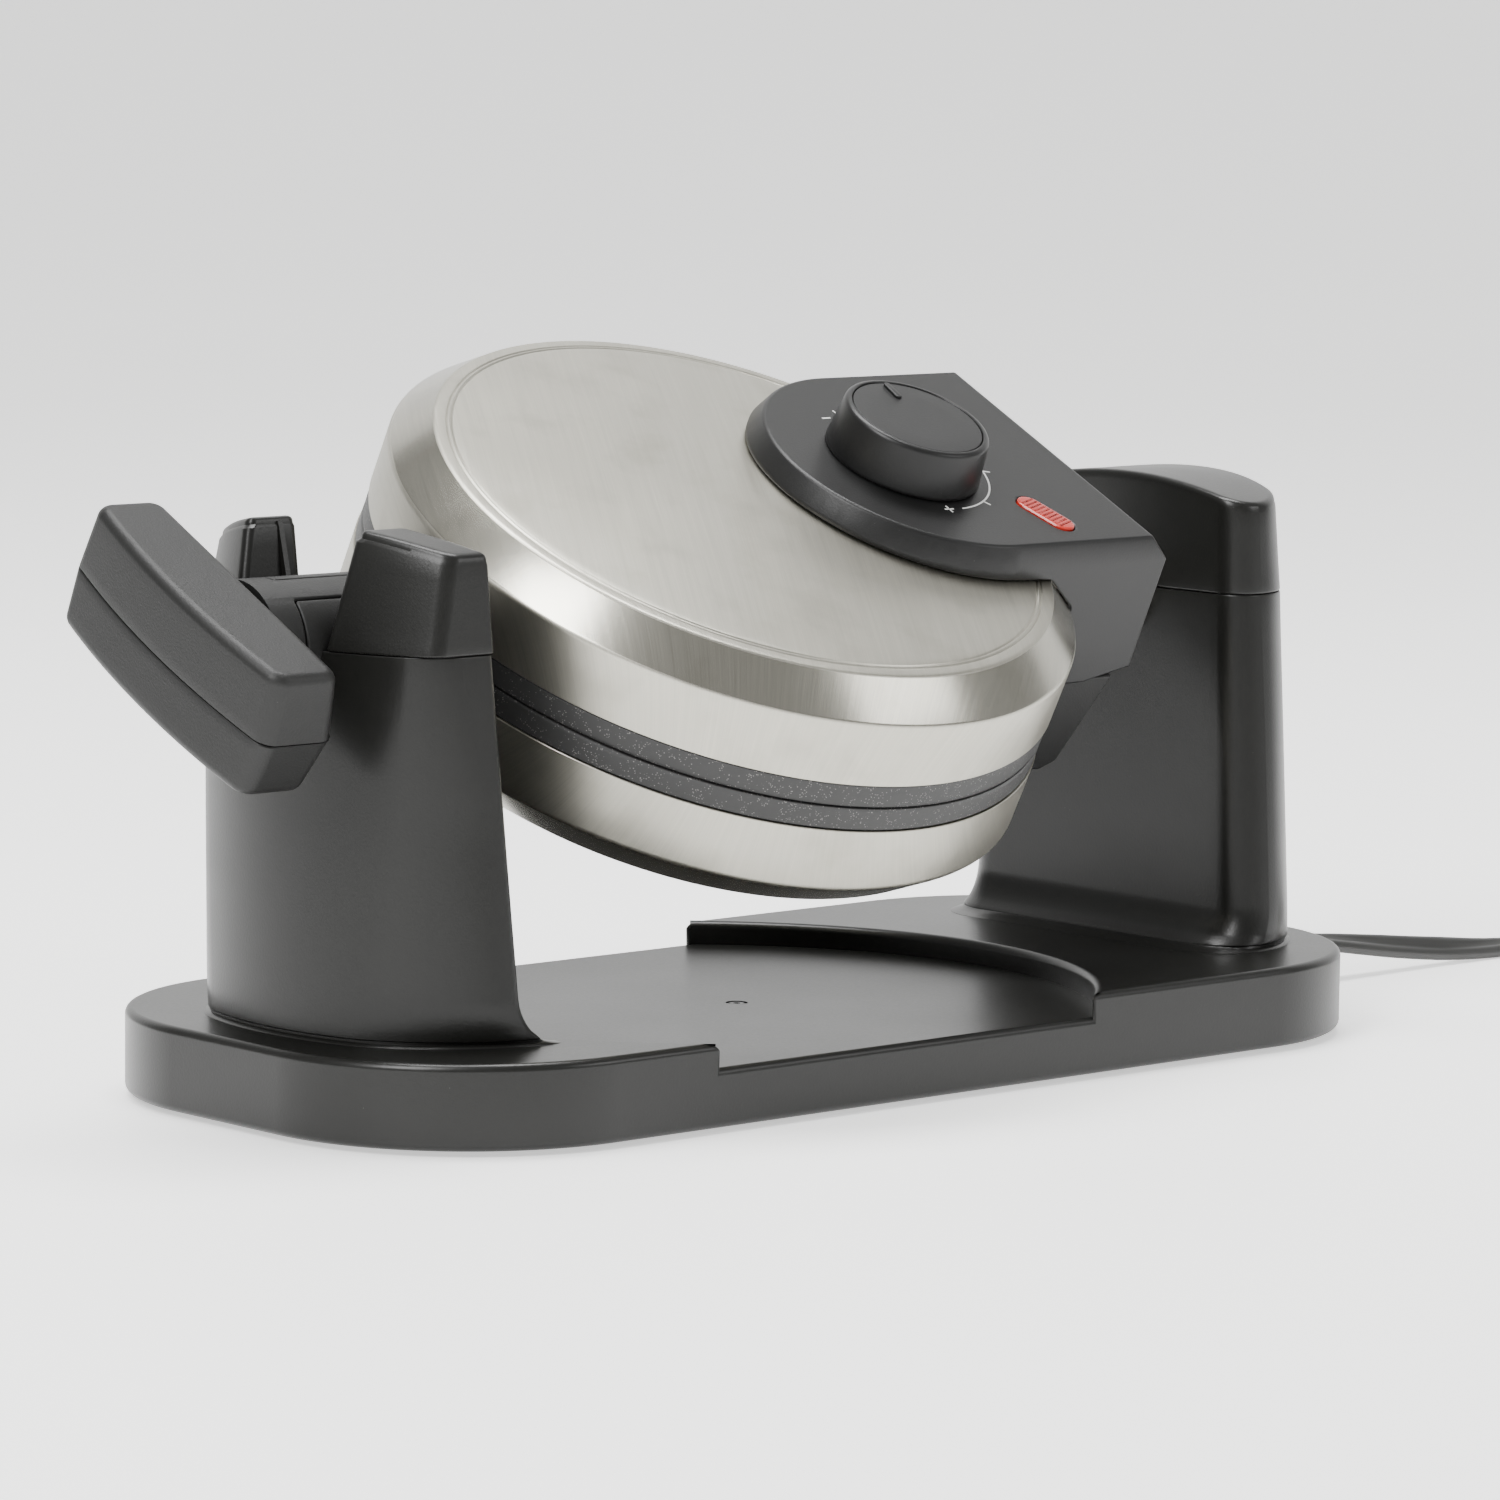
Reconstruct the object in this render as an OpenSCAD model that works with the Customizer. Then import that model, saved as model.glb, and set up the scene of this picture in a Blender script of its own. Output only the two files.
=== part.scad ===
// Rotary waffle maker: a double-plate drum that turns half over between a front fork and a rear bearing tower.
// Millimetres, +Z up. The origin is the centre of the base on the table top; -X is the handle end.
// The drum stands part way through its half turn, with its upper face towards -Y.

/* [Base] */
// Width of the base plate
base_w = 176; // [150:1:200]
// Corner radius of the base plate
base_r = 65; // [40:1:72]
// Height of the deck above the table
deck_z = 25; // [22:0.5:30]
// Depth of the round recess that the turning drum dips into
recess_d = 7; // [5:0.5:9]
// Clearance of the recess round the drum
recess_gap = 10; // [6:1:14]
// Wall of the moulded base and towers
wall = 3; // [2.4:0.1:3.6]
// Height of the rubber feet below the base
foot_h = 1.5; // [1:0.5:3]
// Radius of each rubber foot
foot_r = 8; // [6:0.5:10]

/* [Towers] */
// Height of the drum axis above the table
axis_h = 129.8; // [124:0.2:140]
// Height of the towers' crown above the axis
crown_h = 34; // [30:1:38]
// Half width of a tower at the axis
tower_hw = 52; // [46:1:56]
// Half width of a tower at its foot
foot_hw = 61; // [56:1:66]
// Space between the drum's wall and the front tower
front_gap = 28; // [26:0.5:32]
// Thickness of the front tower at the axis
fork_t = 24; // [22:0.5:30]
// Space between the drum's rear housing and the rear tower
rear_gap = 39.6; // [36:0.2:46]
// Thickness of the rear tower at the axis
rear_t = 37; // [34:0.5:42]
// Base beyond the front tower's face
front_ledge = 17; // [14:0.5:24]
// Base beyond the rear tower's face
rear_ledge = 11; // [9:0.5:16]
// Half width of the fork slot at the top
slot_top = 23.5; // [22.5:0.1:26]

/* [Drum] */
// Turn of the drum about its axis in this pose
tilt = 27; // [20:1:30]
// Radius of the drum's steel wall
drum_r = 102; // [98:0.5:104]
// Half height of the drum at the rim of its flat face
drum_h = 36.5; // [34:0.5:38]
// Height of the bevel between wall and face
bevel_h = 10; // [8:0.5:12]
// Width of the bevel
bevel_w = 10.5; // [8:0.5:12]
// Rise of the domed face above its rim
dome = 3; // [1:0.5:4]
// Thickness of the steel covers
steel = 1; // [0.8:0.1:1.4]
// Height of each plate's rim that shows between the steel covers
rim_h = 7.2; // [6:0.2:9]

/* [Plates] */
// Width of the plates' rim round the waffle cavity
rim_w = 14; // [12:0.5:18]
// Depth of each plate's cavity
cavity_d = 12; // [10:0.5:13]
// Thickness of the plate under the cavity
plate_t = 4; // [3:0.5:5]
// Spacing of the waffle studs
pitch = 17; // [15:0.5:20]
// Width of a stud at its foot
stud_w = 10; // [8:0.5:11]
// Clearance of the stud tips from the parting plane
stud_gap = 2.2; // [2:0.1:4]

/* [Control housing] */
// Half width of the control housing's top face
panel_hw = 47.5; // [44:0.5:50]
// Flare of the housing's sides below its top face
flare = 3; // [2:0.5:4]
// Centre of the panel's round end, inward from the drum's wall
panel_in = 39.5; // [36:0.5:44]
// Height of the panel above the drum's rim
panel_h = 11; // [9:0.5:13]
// Overhang of the housing behind the drum's wall
overhang = 21.4; // [20:0.2:24]
// Wall of the plastic housings
hw = 2.5; // [2:0.1:3]
// Gap that keeps the housings off the steel
seat = 0.2; // [0.1:0.05:0.3]

/* [Hinge] */
// Lid hinge pin, outward from the drum's wall
hinge_out = 13; // [12.5:0.1:13.5]
// Height of the hinge pin above the parting plane
hinge_z = 15; // [14.5:0.5:16]
// Radius of the hinge pin
pin_r = 2; // [1.5:0.1:2.2]
// Lift of the floating hinge
float_h = 4; // [2:0.5:5]
// Half span of the hinge ears' outer faces
ear_y = 33; // [30:1:34]

/* [Handle and shaft] */
// Radius of the front journal
stem_r = 18.5; // [17.5:0.1:19]
// Half length of the grip
grip_hl = 47; // [42:0.5:52]
// Space between the front tower and the grip
grip_gap = 12; // [10:0.5:16]
// Thickness of the grip at its middle
grip_t = 28; // [24:0.5:32]
// Height of the upper half of the grip
grip_up = 20; // [16:0.5:22]
// Height of the lower half of the grip
grip_dn = 17; // [14:0.5:20]
// Radius of the rear shaft inside its bearing
shaft_r = 8; // [7:0.5:9]
// Radius of the rear shaft between housing and tower
neck_r = 5.5; // [5:0.1:5.8]
// Radial clearance of running fits
run = 0.06; // [0.03:0.01:0.09]

/* [Knob] */
// Centre of the knob, inward from the drum's wall
knob_in = 47; // [44:0.5:50]
// Radius of the knob at its foot
knob_r = 23.2; // [21:0.2:25]
// Height of the knob
knob_h = 14.4; // [12:0.2:17]
// Radius of the thermostat's spindle
spindle_r = 3; // [2.5:0.1:3.5]

/* [Cord] */
// Width of the flat mains cord
cord_w = 8; // [7.2:0.1:8.2]
// Thickness of the flat mains cord
cord_t = 4; // [3.6:0.1:4.2]
// Radius of the coil at the middle of its turns
coil_r = 42; // [40:1:44]

/* [Hidden] */
$fn = 96;

black = [0.11, 0.11, 0.11];
charcoal = [0.16, 0.16, 0.155];
steel_grey = [0.78, 0.77, 0.74];
plate_black = [0.07, 0.07, 0.07];
brass = [0.8, 0.65, 0.3];

// along the axis, from the drum's centre
front_in_r = drum_r + front_gap;
rear_x = drum_r + overhang;
panel_x = drum_r - panel_in;
knob_x = drum_r - knob_in;
hinge_x = drum_r + hinge_out;
cavity_r = drum_r - rim_w;
grip_in = front_in_r + fork_t + grip_gap;
grip_out = grip_in + grip_t;
// along the base, from its middle
front_end = front_in_r + fork_t + front_ledge;
rear_end = rear_x + rear_gap + rear_t + rear_ledge;
base_l = front_end + rear_end;
drum_x = (front_end - rear_end) / 2;
front_out = base_l / 2 - front_ledge;
rear_out = base_l / 2 - rear_ledge;
rear_in = rear_out - rear_t;
base_z = foot_h;
recess_z = deck_z - recess_d;
recess_r = drum_r + recess_gap;
top_z = axis_h + crown_h;
crown_r = 178;
foot_z = deck_z;
fillet_r = 13;
// front tower plan
front_x = -front_out;
front_arc = 100;
lean_top = 6.5;
// saddle under the journal
saddle_r = stem_r + run;
// bearing, cap screws and the cord's sleeve
bearing_r = 12.9;
bearing_l = 16;
flange_gap = 0.8;
cap_screw_y = 42;
rear_screw_x = rear_in + 13;
front_screw_x = front_x + 18.5;
ledge_z = axis_h - 5;
rib_at = fork_t - 4.5;
rib_t = 1.5;
relief_r = 6.6;
cover_t = 3;
block_x = base_l / 2 - 65;
// journal between the prongs
journal_in = -(front_in_r - 6.6);
journal_out = -(front_in_r + fork_t + 2.6);
tongue_w = 5;
tongue_z = 6;
part_gap = 0.15;
face_z = drum_h + panel_h;
skirt_hw = panel_hw + flare;
post_x = knob_x + 17;
post_y = 30;
lower_hw = panel_hw - 0.5;
grip_screw_z = 11;
flange_x = drum_r + 9;
flange_r = stem_r + 3.5;
boss_x = drum_r + 17;
neck_x = rear_in - drum_x - 9.9;
bore_r = 3.5;
hinge_eye = 4;
plunger_r = 3;
disc_r = 20;
disc_x = rear_in + bearing_l + 2;
disc_t = 5;
spring_r = 4.6;
spring_wire = 0.6;
spring_turns = 6;
guide_z = axis_h - disc_r - 22;
spring_z0 = guide_z - 12;
cable_z = 14;
coil_at = [400, -42];
coil_turns = 2.4;
out_route = [[200, 0, 14], [214, 0, 13.9], [228, 0, 13], [242, 0, 11.4], [257, 0, 9.4], [272, 0, 7.4],
    [287, 0, 5.6], [302, 0, 4.1], [317, 0, 3], [332, 0, 2.4], [350, 0, 2.1], [375, 0, 2.1], [400, 0, 2.1]];
back_route = [[421, -78.4, 12], [411, -82.6, 12], [400, -84, 12], [389, -82.6, 12], [379.5, -80, 12],
    [370, -77.4, 11.4], [358, -74.3, 10], [348.5, -71.7, 8.7], [342.5, -70.2, 8.1]];
plug_at = [342.4, -70.2, 8.1];
plug_turn = -15;
plug_l = 32;
blade_y = 6.35;
blade_l = 16;

// ---------- shared shapes ----------

// Everything on the drum, in the drum's own frame: X along the axis, Z through the plates.
module on_drum() { translate([drum_x, 0, axis_h]) rotate([tilt, 0, 0]) children(); }

// Cylinder along X from x0 to x1.
module rod(x0, x1, r) { translate([x0, 0, 0]) rotate([0, 90, 0]) cylinder(r = r, h = x1 - x0); }

// A box given by two corners.
module span(a, b) { translate(a) cube(b - a); }

// Outline in X and Z, extruded across Y.
module across(y0, y1) { translate([0, y1, 0]) rotate([90, 0, 0]) linear_extrude(y1 - y0) children(); }

// Rectangle with true round corners.
module round_rect(l, w, r) {
    square([l - 2 * r, w], center = true);
    square([l, w - 2 * r], center = true);
    for (i = [-1, 1], j = [-1, 1]) translate([i * (l / 2 - r), j * (w / 2 - r)]) circle(r);
}

module base_plan(inset = 0) { round_rect(base_l - 2 * inset, base_w - 2 * inset, base_r - inset); }

// Plan of one tower: flat side at x_in, bowed side at x_out (both positive), half width w.
module tower_plan(x_in, x_out, w, r) {
    intersection() {
        translate([(x_in + x_out) / 2, 0]) round_rect(x_out - x_in, 2 * w, r);
        translate([x_out - front_arc, 0]) circle(front_arc);
    }
}

// Front tower, drawn towards -X, tapering from its foot to the axis; inset gives its hollow.
module front_body(inset = 0) {
    hull() {
        translate([0, 0, inset > 0 ? foot_z + wall : foot_z]) linear_extrude(0.02) mirror([1, 0])
            tower_plan(front_out - 54, front_out + 2 - inset, foot_hw - inset, 28, $fn = 32);
        translate([0, 0, axis_h - 0.02]) linear_extrude(0.02) mirror([1, 0])
            tower_plan(front_out - 54, front_out - inset, tower_hw - inset, 9, $fn = 32);
    }
}

module rear_body(inset = 0) {
    hull() {
        translate([0, 0, inset > 0 ? foot_z + wall : foot_z]) linear_extrude(0.02)
            tower_plan(rear_in - 4 + inset, rear_out + 5 - inset, foot_hw - inset, 20, $fn = 32);
        translate([0, 0, axis_h - 0.02]) linear_extrude(0.02)
            tower_plan(rear_in + inset, rear_out - inset, tower_hw - inset, 12, $fn = 32);
    }
}

// Crowned top that both towers share.
module crown() {
    translate([0, 0, top_z - crown_r]) rod(-base_l, base_l, crown_r);
}

// Slot of the fork, opening upwards with a slight lead-in.
module fork_slot() {
    translate([front_x - 10, 0, axis_h]) rotate([90, 0, 90]) linear_extrude(60)
        polygon([[-saddle_r, 0], [saddle_r, 0], [slot_top, crown_h + 2], [-slot_top, crown_h + 2]]);
    translate([0, 0, axis_h]) rod(front_x - 10, front_x + 50, saddle_r);
}

// Outer surface of a half drum, offset by g.
function dome_pts(g) = [for (i = [0:8]) let (r = i * (drum_r - bevel_w) / 8)
    [r, drum_h + g + dome * (1 - pow(r / (drum_r - bevel_w), 2))]];
module half_shell(g, low) {
    rotate_extrude() polygon(concat([[0, low]], dome_pts(g),
        [[drum_r + g, drum_h - bevel_h + g * 0.4], [drum_r + g, low]]));
}

// Steel cover of one half.
module cover_shell() {
    difference() {
        half_shell(0, rim_h + part_gap);
        half_shell(-steel, rim_h - 1);
    }
}

// Waffle plate of one half, cavity facing the parting plane.
module plate() {
    n = floor(cavity_r / pitch);
    difference() {
        union() {
            translate([0, 0, part_gap]) cylinder(r = drum_r - 0.4, h = rim_h - part_gap);
            cylinder(r = cavity_r + 5, h = cavity_d + plate_t);
        }
        translate([0, 0, -1]) cylinder(r = cavity_r, h = cavity_d + 1);
        translate([0, 0, -1]) cylinder(r = drum_r + 1, h = 1 + part_gap);
    }
    intersection() {
        translate([0, 0, stud_gap]) cylinder(r = cavity_r - 1.5, h = cavity_d);
        for (i = [-n:n], j = [-n:n])
            if (norm([i + 0.5, j + 0.5]) * pitch < cavity_r + 2)
                translate([(i + 0.5) * pitch, (j + 0.5) * pitch, cavity_d + 0.5]) mirror([0, 0, 1])
                    linear_extrude(cavity_d + 0.5 - stud_gap, scale = 0.72) square(stud_w, center = true);
    }
    // ridges that part the four quarters
    for (a = [0, 90]) rotate(a)
        span([-cavity_r + 0.5, -0.9, cavity_d - 4], [cavity_r - 0.5, 0.9, cavity_d + 0.5]);
}

// Tubular heating element clamped on the plate's back.
heater_r = cavity_r - 12;
tube_r = 3.2;
module heater() {
    z = cavity_d + plate_t + tube_r + 0.1;
    rotate(25) rotate_extrude(angle = 310) translate([heater_r, 0]) circle(tube_r);
    for (a = [25, 335]) rotate(a) translate([heater_r, 0, 0]) cylinder(r = 1.6, h = 9);
}
module heater_seat() { translate([0, 0, cavity_d + plate_t + tube_r + 0.1]) children(); }

// Pressed bar that holds the element, screwed to the plate.
module clamp_bar() {
    z0 = cavity_d + plate_t;
    for (a = [90, 180, 270]) rotate(a) difference() {
        span([heater_r - 9, -6, z0 + 0.05], [heater_r + 9, 6, z0 + 2 * tube_r + 2]);
        translate([heater_r - 0.15, 7, z0 + tube_r + 0.1]) rotate([90, 0, 0]) cylinder(r = tube_r + 0.3, h = 14);
        span([heater_r - tube_r - 0.45, -7, z0 - 1], [heater_r + tube_r + 0.15, 7, z0 + tube_r + 0.1]);
    }
}

// Cross-section of the control housing in Y and Z, then its round nose and its straight body.
module panel_section(i) {
    low = i > 0 ? -3 : -1;
    polygon([[0, low], [skirt_hw - i, low], [skirt_hw - i, face_z - 6 - i * 0.4], [panel_hw - i * 0.8, face_z - i],
        [0, face_z - i]]);
}
module panel_body(i = 0) {
    low = i > 0 ? -3 : 0;
    intersection() {
        union() {
            translate([panel_x, 0, 0]) rotate_extrude() panel_section(i);
            for (m = [0, 1]) mirror([0, m, 0]) translate([panel_x, 0, 0]) rotate([90, 0, 90])
                linear_extrude(panel_in + overhang + 10) panel_section(i);
        }
        across(-60, 60) polygon([[0, -1 + low], [drum_r - 12, -1 + low], [drum_r - 12, part_gap + low],
            [drum_r + 4, part_gap + low], [rear_x - i, 4.5 + low], [rear_x - i, 4.5],
            [rear_x - 2.4 - i, face_z - 6], [rear_x - 8 - i * 0.6, face_z + 0.01], [0, face_z + 0.01]]);
    }
}

// Screw with a domed head, along +Z, head at the top.
module screw(r, l) {
    cylinder(r = r, h = l);
    translate([0, 0, l - 0.01]) intersection() {
        cylinder(r = 2 * r, h = 1.2 * r);
        translate([0, 0, -1.4 * r]) sphere(r = 2.6 * r);
    }
}

// Flat cord swept along a route: elliptical section kept level.
function unit(v) = v / norm(v);
function tangent(p, i) = unit(p[min(i + 1, len(p) - 1)] - p[max(i - 1, 0)]);
module flat_cord(p) {
    n = 8;
    pts = [for (i = [0:len(p) - 1]) let (t = tangent(p, i), s = unit(cross(t, [0, 0, 1])), u = cross(s, t))
        for (k = [0:n - 1]) let (a = 360 * (k + 0.5) / n)
            p[i] + s * (cord_w / 2 * cos(a)) + u * (cord_t / 2 * sin(a))];
    sides = [for (i = [0:len(p) - 2]) for (k = [0:n - 1])
        [i * n + k, i * n + (k + 1) % n, (i + 1) * n + (k + 1) % n, (i + 1) * n + k]];
    caps = [[for (k = [n - 1:-1:0]) k], [for (k = [0:n - 1]) (len(p) - 1) * n + k]];
    polyhedron(pts, concat(sides, caps), convexity = 6);
}

// ---------- base ----------

edge_x = base_l / 2 - 41;
edge_y = base_w / 2 - 38;
foot_x = base_l / 2 - 51;
foot_y = base_w / 2 - 30;
base_screw_at = [[-edge_x, -edge_y], [-edge_x, edge_y], [0, 16 - base_w / 2], [0, base_w / 2 - 16],
    [edge_x, -edge_y], [edge_x, edge_y]];
front_post_x = front_x + 19;
rear_post_x = rear_in + 16;
tower_screw_at = [[front_post_x, -38], [front_post_x, 38], [rear_post_x, -38], [rear_post_x, 38]];
wire_r = 4;
foot_at = [[-foot_x, -foot_y], [-foot_x, foot_y], [foot_x, -foot_y], [foot_x, foot_y]];

// Concave fillet in X and Z at the foot of a wall that stands at x, cut slightly deep so that its edges are crisp.
module foot_fillet(x) {
    bite = 0.25;
    difference() {
        translate([x - fillet_r, deck_z + 0.02]) square([fillet_r + 2, fillet_r - 0.02]);
        translate([x - fillet_r + bite, deck_z + fillet_r - bite]) circle(fillet_r);
    }
}

module base_shell() color(charcoal) difference() {
    union() {
        difference() {
            translate([0, 0, base_z]) linear_extrude(deck_z - base_z) base_plan();
            translate([0, 0, base_z - 1]) linear_extrude(recess_z - base_z - wall + 1) base_plan(wall);
            difference() {
                translate([0, 0, base_z]) linear_extrude(deck_z - base_z - wall) base_plan(wall);
                translate([drum_x, 0, 0]) cylinder(r = recess_r + wall, h = deck_z);
            }
        }
        for (p = base_screw_at) translate([p[0], p[1], base_z + cover_t + 0.1])
            cylinder(r = 4.5, h = (norm([p[0] - drum_x, p[1]]) < recess_r ? recess_z : deck_z) - base_z - 4);
    }
    translate([drum_x, 0, recess_z]) cylinder(r = recess_r, h = deck_z);
    translate([0, 0, cable_z]) rod(base_l / 2 - 12, base_l / 2 + 5, relief_r + 0.1);
    for (p = base_screw_at) translate([p[0], p[1], base_z - 1]) cylinder(r = 1.6, h = 12);
    for (p = tower_screw_at) translate([p[0], p[1], deck_z - wall - 1]) cylinder(r = 1.7, h = wall + 2);
    translate([rear_screw_x, 0, deck_z - wall - 1]) cylinder(r = wire_r, h = wall + 2);
}

// Posts on a tower's floor, with bores for the screws from below.
module tower_posts(x) {
    for (p = tower_screw_at) if (p[0] == x) translate([p[0], p[1], deck_z]) cylinder(r = 4, h = 16);
}
module tower_bores() {
    for (p = tower_screw_at) translate([p[0], p[1], deck_z - 1]) cylinder(r = 1.55, h = 14);
}

module fork_tower() color(charcoal) difference() {
    union() {
        difference() {
            front_body();
            translate([drum_x, 0, deck_z - 1]) cylinder(r = front_in_r, h = 200);
            difference() {
                front_body(wall);
                translate([drum_x, 0, 0]) cylinder(r = front_in_r + wall, h = 200);
            }
        }
        intersection() {
            translate([drum_x, 0, 0]) rotate(180 - 35) rotate_extrude(angle = 70) foot_fillet(front_in_r);
            translate([-front_out - 16, 0, 0]) linear_extrude(60) round_rect(130, 2 * foot_hw - 3, 12);
        }
        // half-round saddle that the journal turns in
        intersection() {
            front_body();
            translate([0, 0, axis_h]) rod(front_x - 10, drum_x - front_in_r, saddle_r + wall);
        }
        // ledges that the cap screws pull against
        for (m = [0, 1]) mirror([0, m, 0])
            span([front_screw_x - 5, cap_screw_y - 6, ledge_z - 4], [front_screw_x + 5, tower_hw - 1, ledge_z]);
        tower_posts(front_post_x);
    }
    translate([0, 0, axis_h]) rod(front_x - 10, front_x + 50, saddle_r);
    for (y = [-cap_screw_y, cap_screw_y]) translate([front_screw_x, y, ledge_z - 6]) cylinder(r = 1.7, h = 10);
    tower_bores();
}

module rear_tower() color(charcoal) difference() {
    union() {
        difference() {
            rear_body();
            rear_body(wall);
        }
        intersection() {
            across(-foot_hw, foot_hw) foot_fillet(rear_in - 3.5);
            translate([rear_in + 44, 0, 0]) linear_extrude(60) round_rect(120, 2 * foot_hw - 3, 20);
        }
        // half boss round the rear bearing
        intersection() {
            translate([0, 0, axis_h]) rod(rear_in + 1, rear_in + bearing_l, bearing_r + 4);
            span([rear_in - 40, -30, axis_h - 40], [rear_out + 20, 30, axis_h]);
        }
        for (m = [0, 1]) mirror([0, m, 0])
            span([rear_screw_x - 6, cap_screw_y - 6, ledge_z - 4], [rear_screw_x + 6, tower_hw - 1, ledge_z]);
        // shelf under the detent's guide
        span([disc_x + disc_t / 2 - 7, -11, spring_z0 - 6], [rear_out - 1, 11, spring_z0 - 2.6]);
        tower_posts(rear_post_x);
    }
    translate([0, 0, axis_h]) rod(rear_in - 10, rear_in + bearing_l + 4, bearing_r + 0.1);
    for (y = [-cap_screw_y, cap_screw_y]) translate([rear_screw_x, y, ledge_z - 6]) cylinder(r = 1.7, h = 10);
    tower_bores();
    translate([rear_screw_x, 0, deck_z - 1]) cylinder(r = wire_r, h = wall + 2);
}

module tower_screws() color(steel_grey) for (p = tower_screw_at)
    translate([p[0], p[1], deck_z - wall + 11]) mirror([0, 0, 1]) screw(1.5, 11.1);

module base_cover() color(black) difference() {
    translate([0, 0, base_z]) linear_extrude(cover_t) base_plan(wall + 0.3);
    for (p = base_screw_at) translate([p[0], p[1], 0]) {
        cylinder(r = 1.7, h = 10);
        cylinder(r = 3.3, h = base_z + cover_t - 0.7);
    }
    for (p = foot_at) translate([p[0], p[1], 0]) cylinder(r = 2, h = 10);
    // air slots under the drum
    for (i = [-3:3]) translate([i * 14, 0, 0]) linear_extrude(10) round_rect(4, 40, 1.9);
}

module feet() color([0.05, 0.05, 0.05]) for (p = foot_at) translate([p[0], p[1], 0]) {
    cylinder(r1 = foot_r - 1, r2 = foot_r, h = foot_h);
    cylinder(r = 1.9, h = foot_h + cover_t + 1.5);
    translate([0, 0, foot_h + cover_t + 0.1]) cylinder(r = 3, h = 1.4);
}

module base_screws() color(steel_grey) for (p = base_screw_at)
    translate([p[0], p[1], base_z + 10.1]) mirror([0, 0, 1]) screw(1.5, 8);

// ---------- towers ----------

module fork_cap() color(charcoal) difference() {
    union() {
        difference() {
            intersection() {
                hull() {
                    translate([0, 0, axis_h + part_gap]) linear_extrude(0.02) mirror([1, 0])
                        tower_plan(front_out - 54, front_out, tower_hw, 9, $fn = 48);
                    translate([0, 0, top_z]) linear_extrude(0.02) mirror([1, 0])
                        tower_plan(front_out - 54, front_out - lean_top, tower_hw - 1.5, 8, $fn = 48);
                }
                crown();
            }
            translate([drum_x, 0, axis_h - 40]) cylinder(r = front_in_r, h = 100);
            fork_slot();
            // hollow prongs, open downwards
            for (m = [0, 1]) mirror([0, m, 0])
                span([front_x + 11, slot_top + 4, axis_h - 1], [front_x + 20, tower_hw - 4, top_z - 14]);
        }
        // guide ribs on the prongs' slot faces, near the drum
        for (m = [0, 1]) mirror([0, m, 0]) translate([front_x + rib_at, 0, axis_h]) rotate([90, 0, 90])
            linear_extrude(rib_t) polygon([[saddle_r + 0.7, 0.3], [saddle_r - 0.2, 5], [saddle_r - 0.9, 9],
                [saddle_r - 0.9, 11], [slot_top - 0.9, crown_h - 3], [slot_top + 2, crown_h - 3], [slot_top + 2, 0.3]]);
        for (y = [-cap_screw_y, cap_screw_y])
            translate([front_screw_x, y, ledge_z + 0.1]) cylinder(r = 4, h = top_z - 14 - ledge_z);
    }
    for (y = [-cap_screw_y, cap_screw_y])
        translate([front_screw_x, y, ledge_z - 1]) cylinder(r = 1.55, h = 16);
}

module rear_cap() color(charcoal) difference() {
    union() {
        difference() {
            rear_cap_body();
            translate([0, 0, -wall]) intersection() {
                span([rear_in + wall, wall - tower_hw, axis_h - 5], [rear_out - wall - 3, tower_hw - wall, top_z]);
                crown();
                translate([rear_out - wall - front_arc - 1, 0, 0]) cylinder(r = front_arc, h = 300);
            }
        }
        intersection() {
            translate([0, 0, axis_h]) rod(rear_in + 1, rear_in + bearing_l, bearing_r + 4);
            span([rear_in - 40, -30, axis_h + part_gap], [rear_out + 20, 30, axis_h + 30]);
        }
        for (y = [-cap_screw_y, cap_screw_y])
            translate([rear_screw_x, y, ledge_z + 0.1]) cylinder(r = 4, h = crown_h - 3);
    }
    translate([0, 0, axis_h]) rod(rear_in - 10, rear_in + bearing_l + 4, bearing_r + 0.1);
    for (y = [-cap_screw_y, cap_screw_y])
        translate([rear_screw_x, y, ledge_z - 1]) cylinder(r = 1.55, h = 16);
}

module rear_cap_body() {
    intersection() {
        hull() {
            translate([0, 0, axis_h + part_gap]) linear_extrude(0.02)
                tower_plan(rear_in, rear_out, tower_hw, 12, $fn = 48);
            translate([0, 0, top_z]) linear_extrude(0.02)
                tower_plan(rear_in + 0.5, rear_out - 2.5, tower_hw - 1.5, 12, $fn = 48);
        }
        crown();
    }
}

module cap_screws() color(steel_grey)
    for (x = [front_screw_x, rear_screw_x], y = [-cap_screw_y, cap_screw_y])
        translate([x, y, ledge_z + 10]) mirror([0, 0, 1]) screw(1.5, 14.1);

// Plain bush for the rear shaft, flanged on the drum's side.
module bearing_bush() color([0.85, 0.84, 0.8]) translate([0, 0, axis_h]) difference() {
    union() {
        rod(rear_in - 1, rear_in + bearing_l, bearing_r);
        rod(rear_in - 3, rear_in - flange_gap, bearing_r + 3);
    }
    rod(rear_in - 5, rear_in + 20, shaft_r + run);
}

module detent_guide() color(black) difference() {
    union() {
        translate([disc_x + disc_t / 2, 0, guide_z]) cylinder(r = 6.5, h = 14);
        span([disc_x + disc_t / 2 - 5, -9, spring_z0 - 2.5], [disc_x + disc_t / 2 + 5, 9, spring_z0]);
        for (m = [0, 1]) mirror([0, m, 0])
            span([disc_x + disc_t / 2 - 5, 6, spring_z0 - 1], [disc_x + disc_t / 2 + 5, 9, guide_z + 8]);
    }
    translate([disc_x + disc_t / 2, 0, guide_z - 1]) cylinder(r = plunger_r + run, h = 20);
}

module detent_plunger() color(brass) translate([disc_x + disc_t / 2, 0, 0]) {
    translate([0, 0, guide_z - 2]) cylinder(r = plunger_r, h = 22);
    translate([0, 0, guide_z + 20]) cylinder(r1 = plunger_r, r2 = 1.6, h = 1.6);
    translate([0, 0, guide_z - 4]) cylinder(r = 5.6, h = 2);
}

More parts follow.
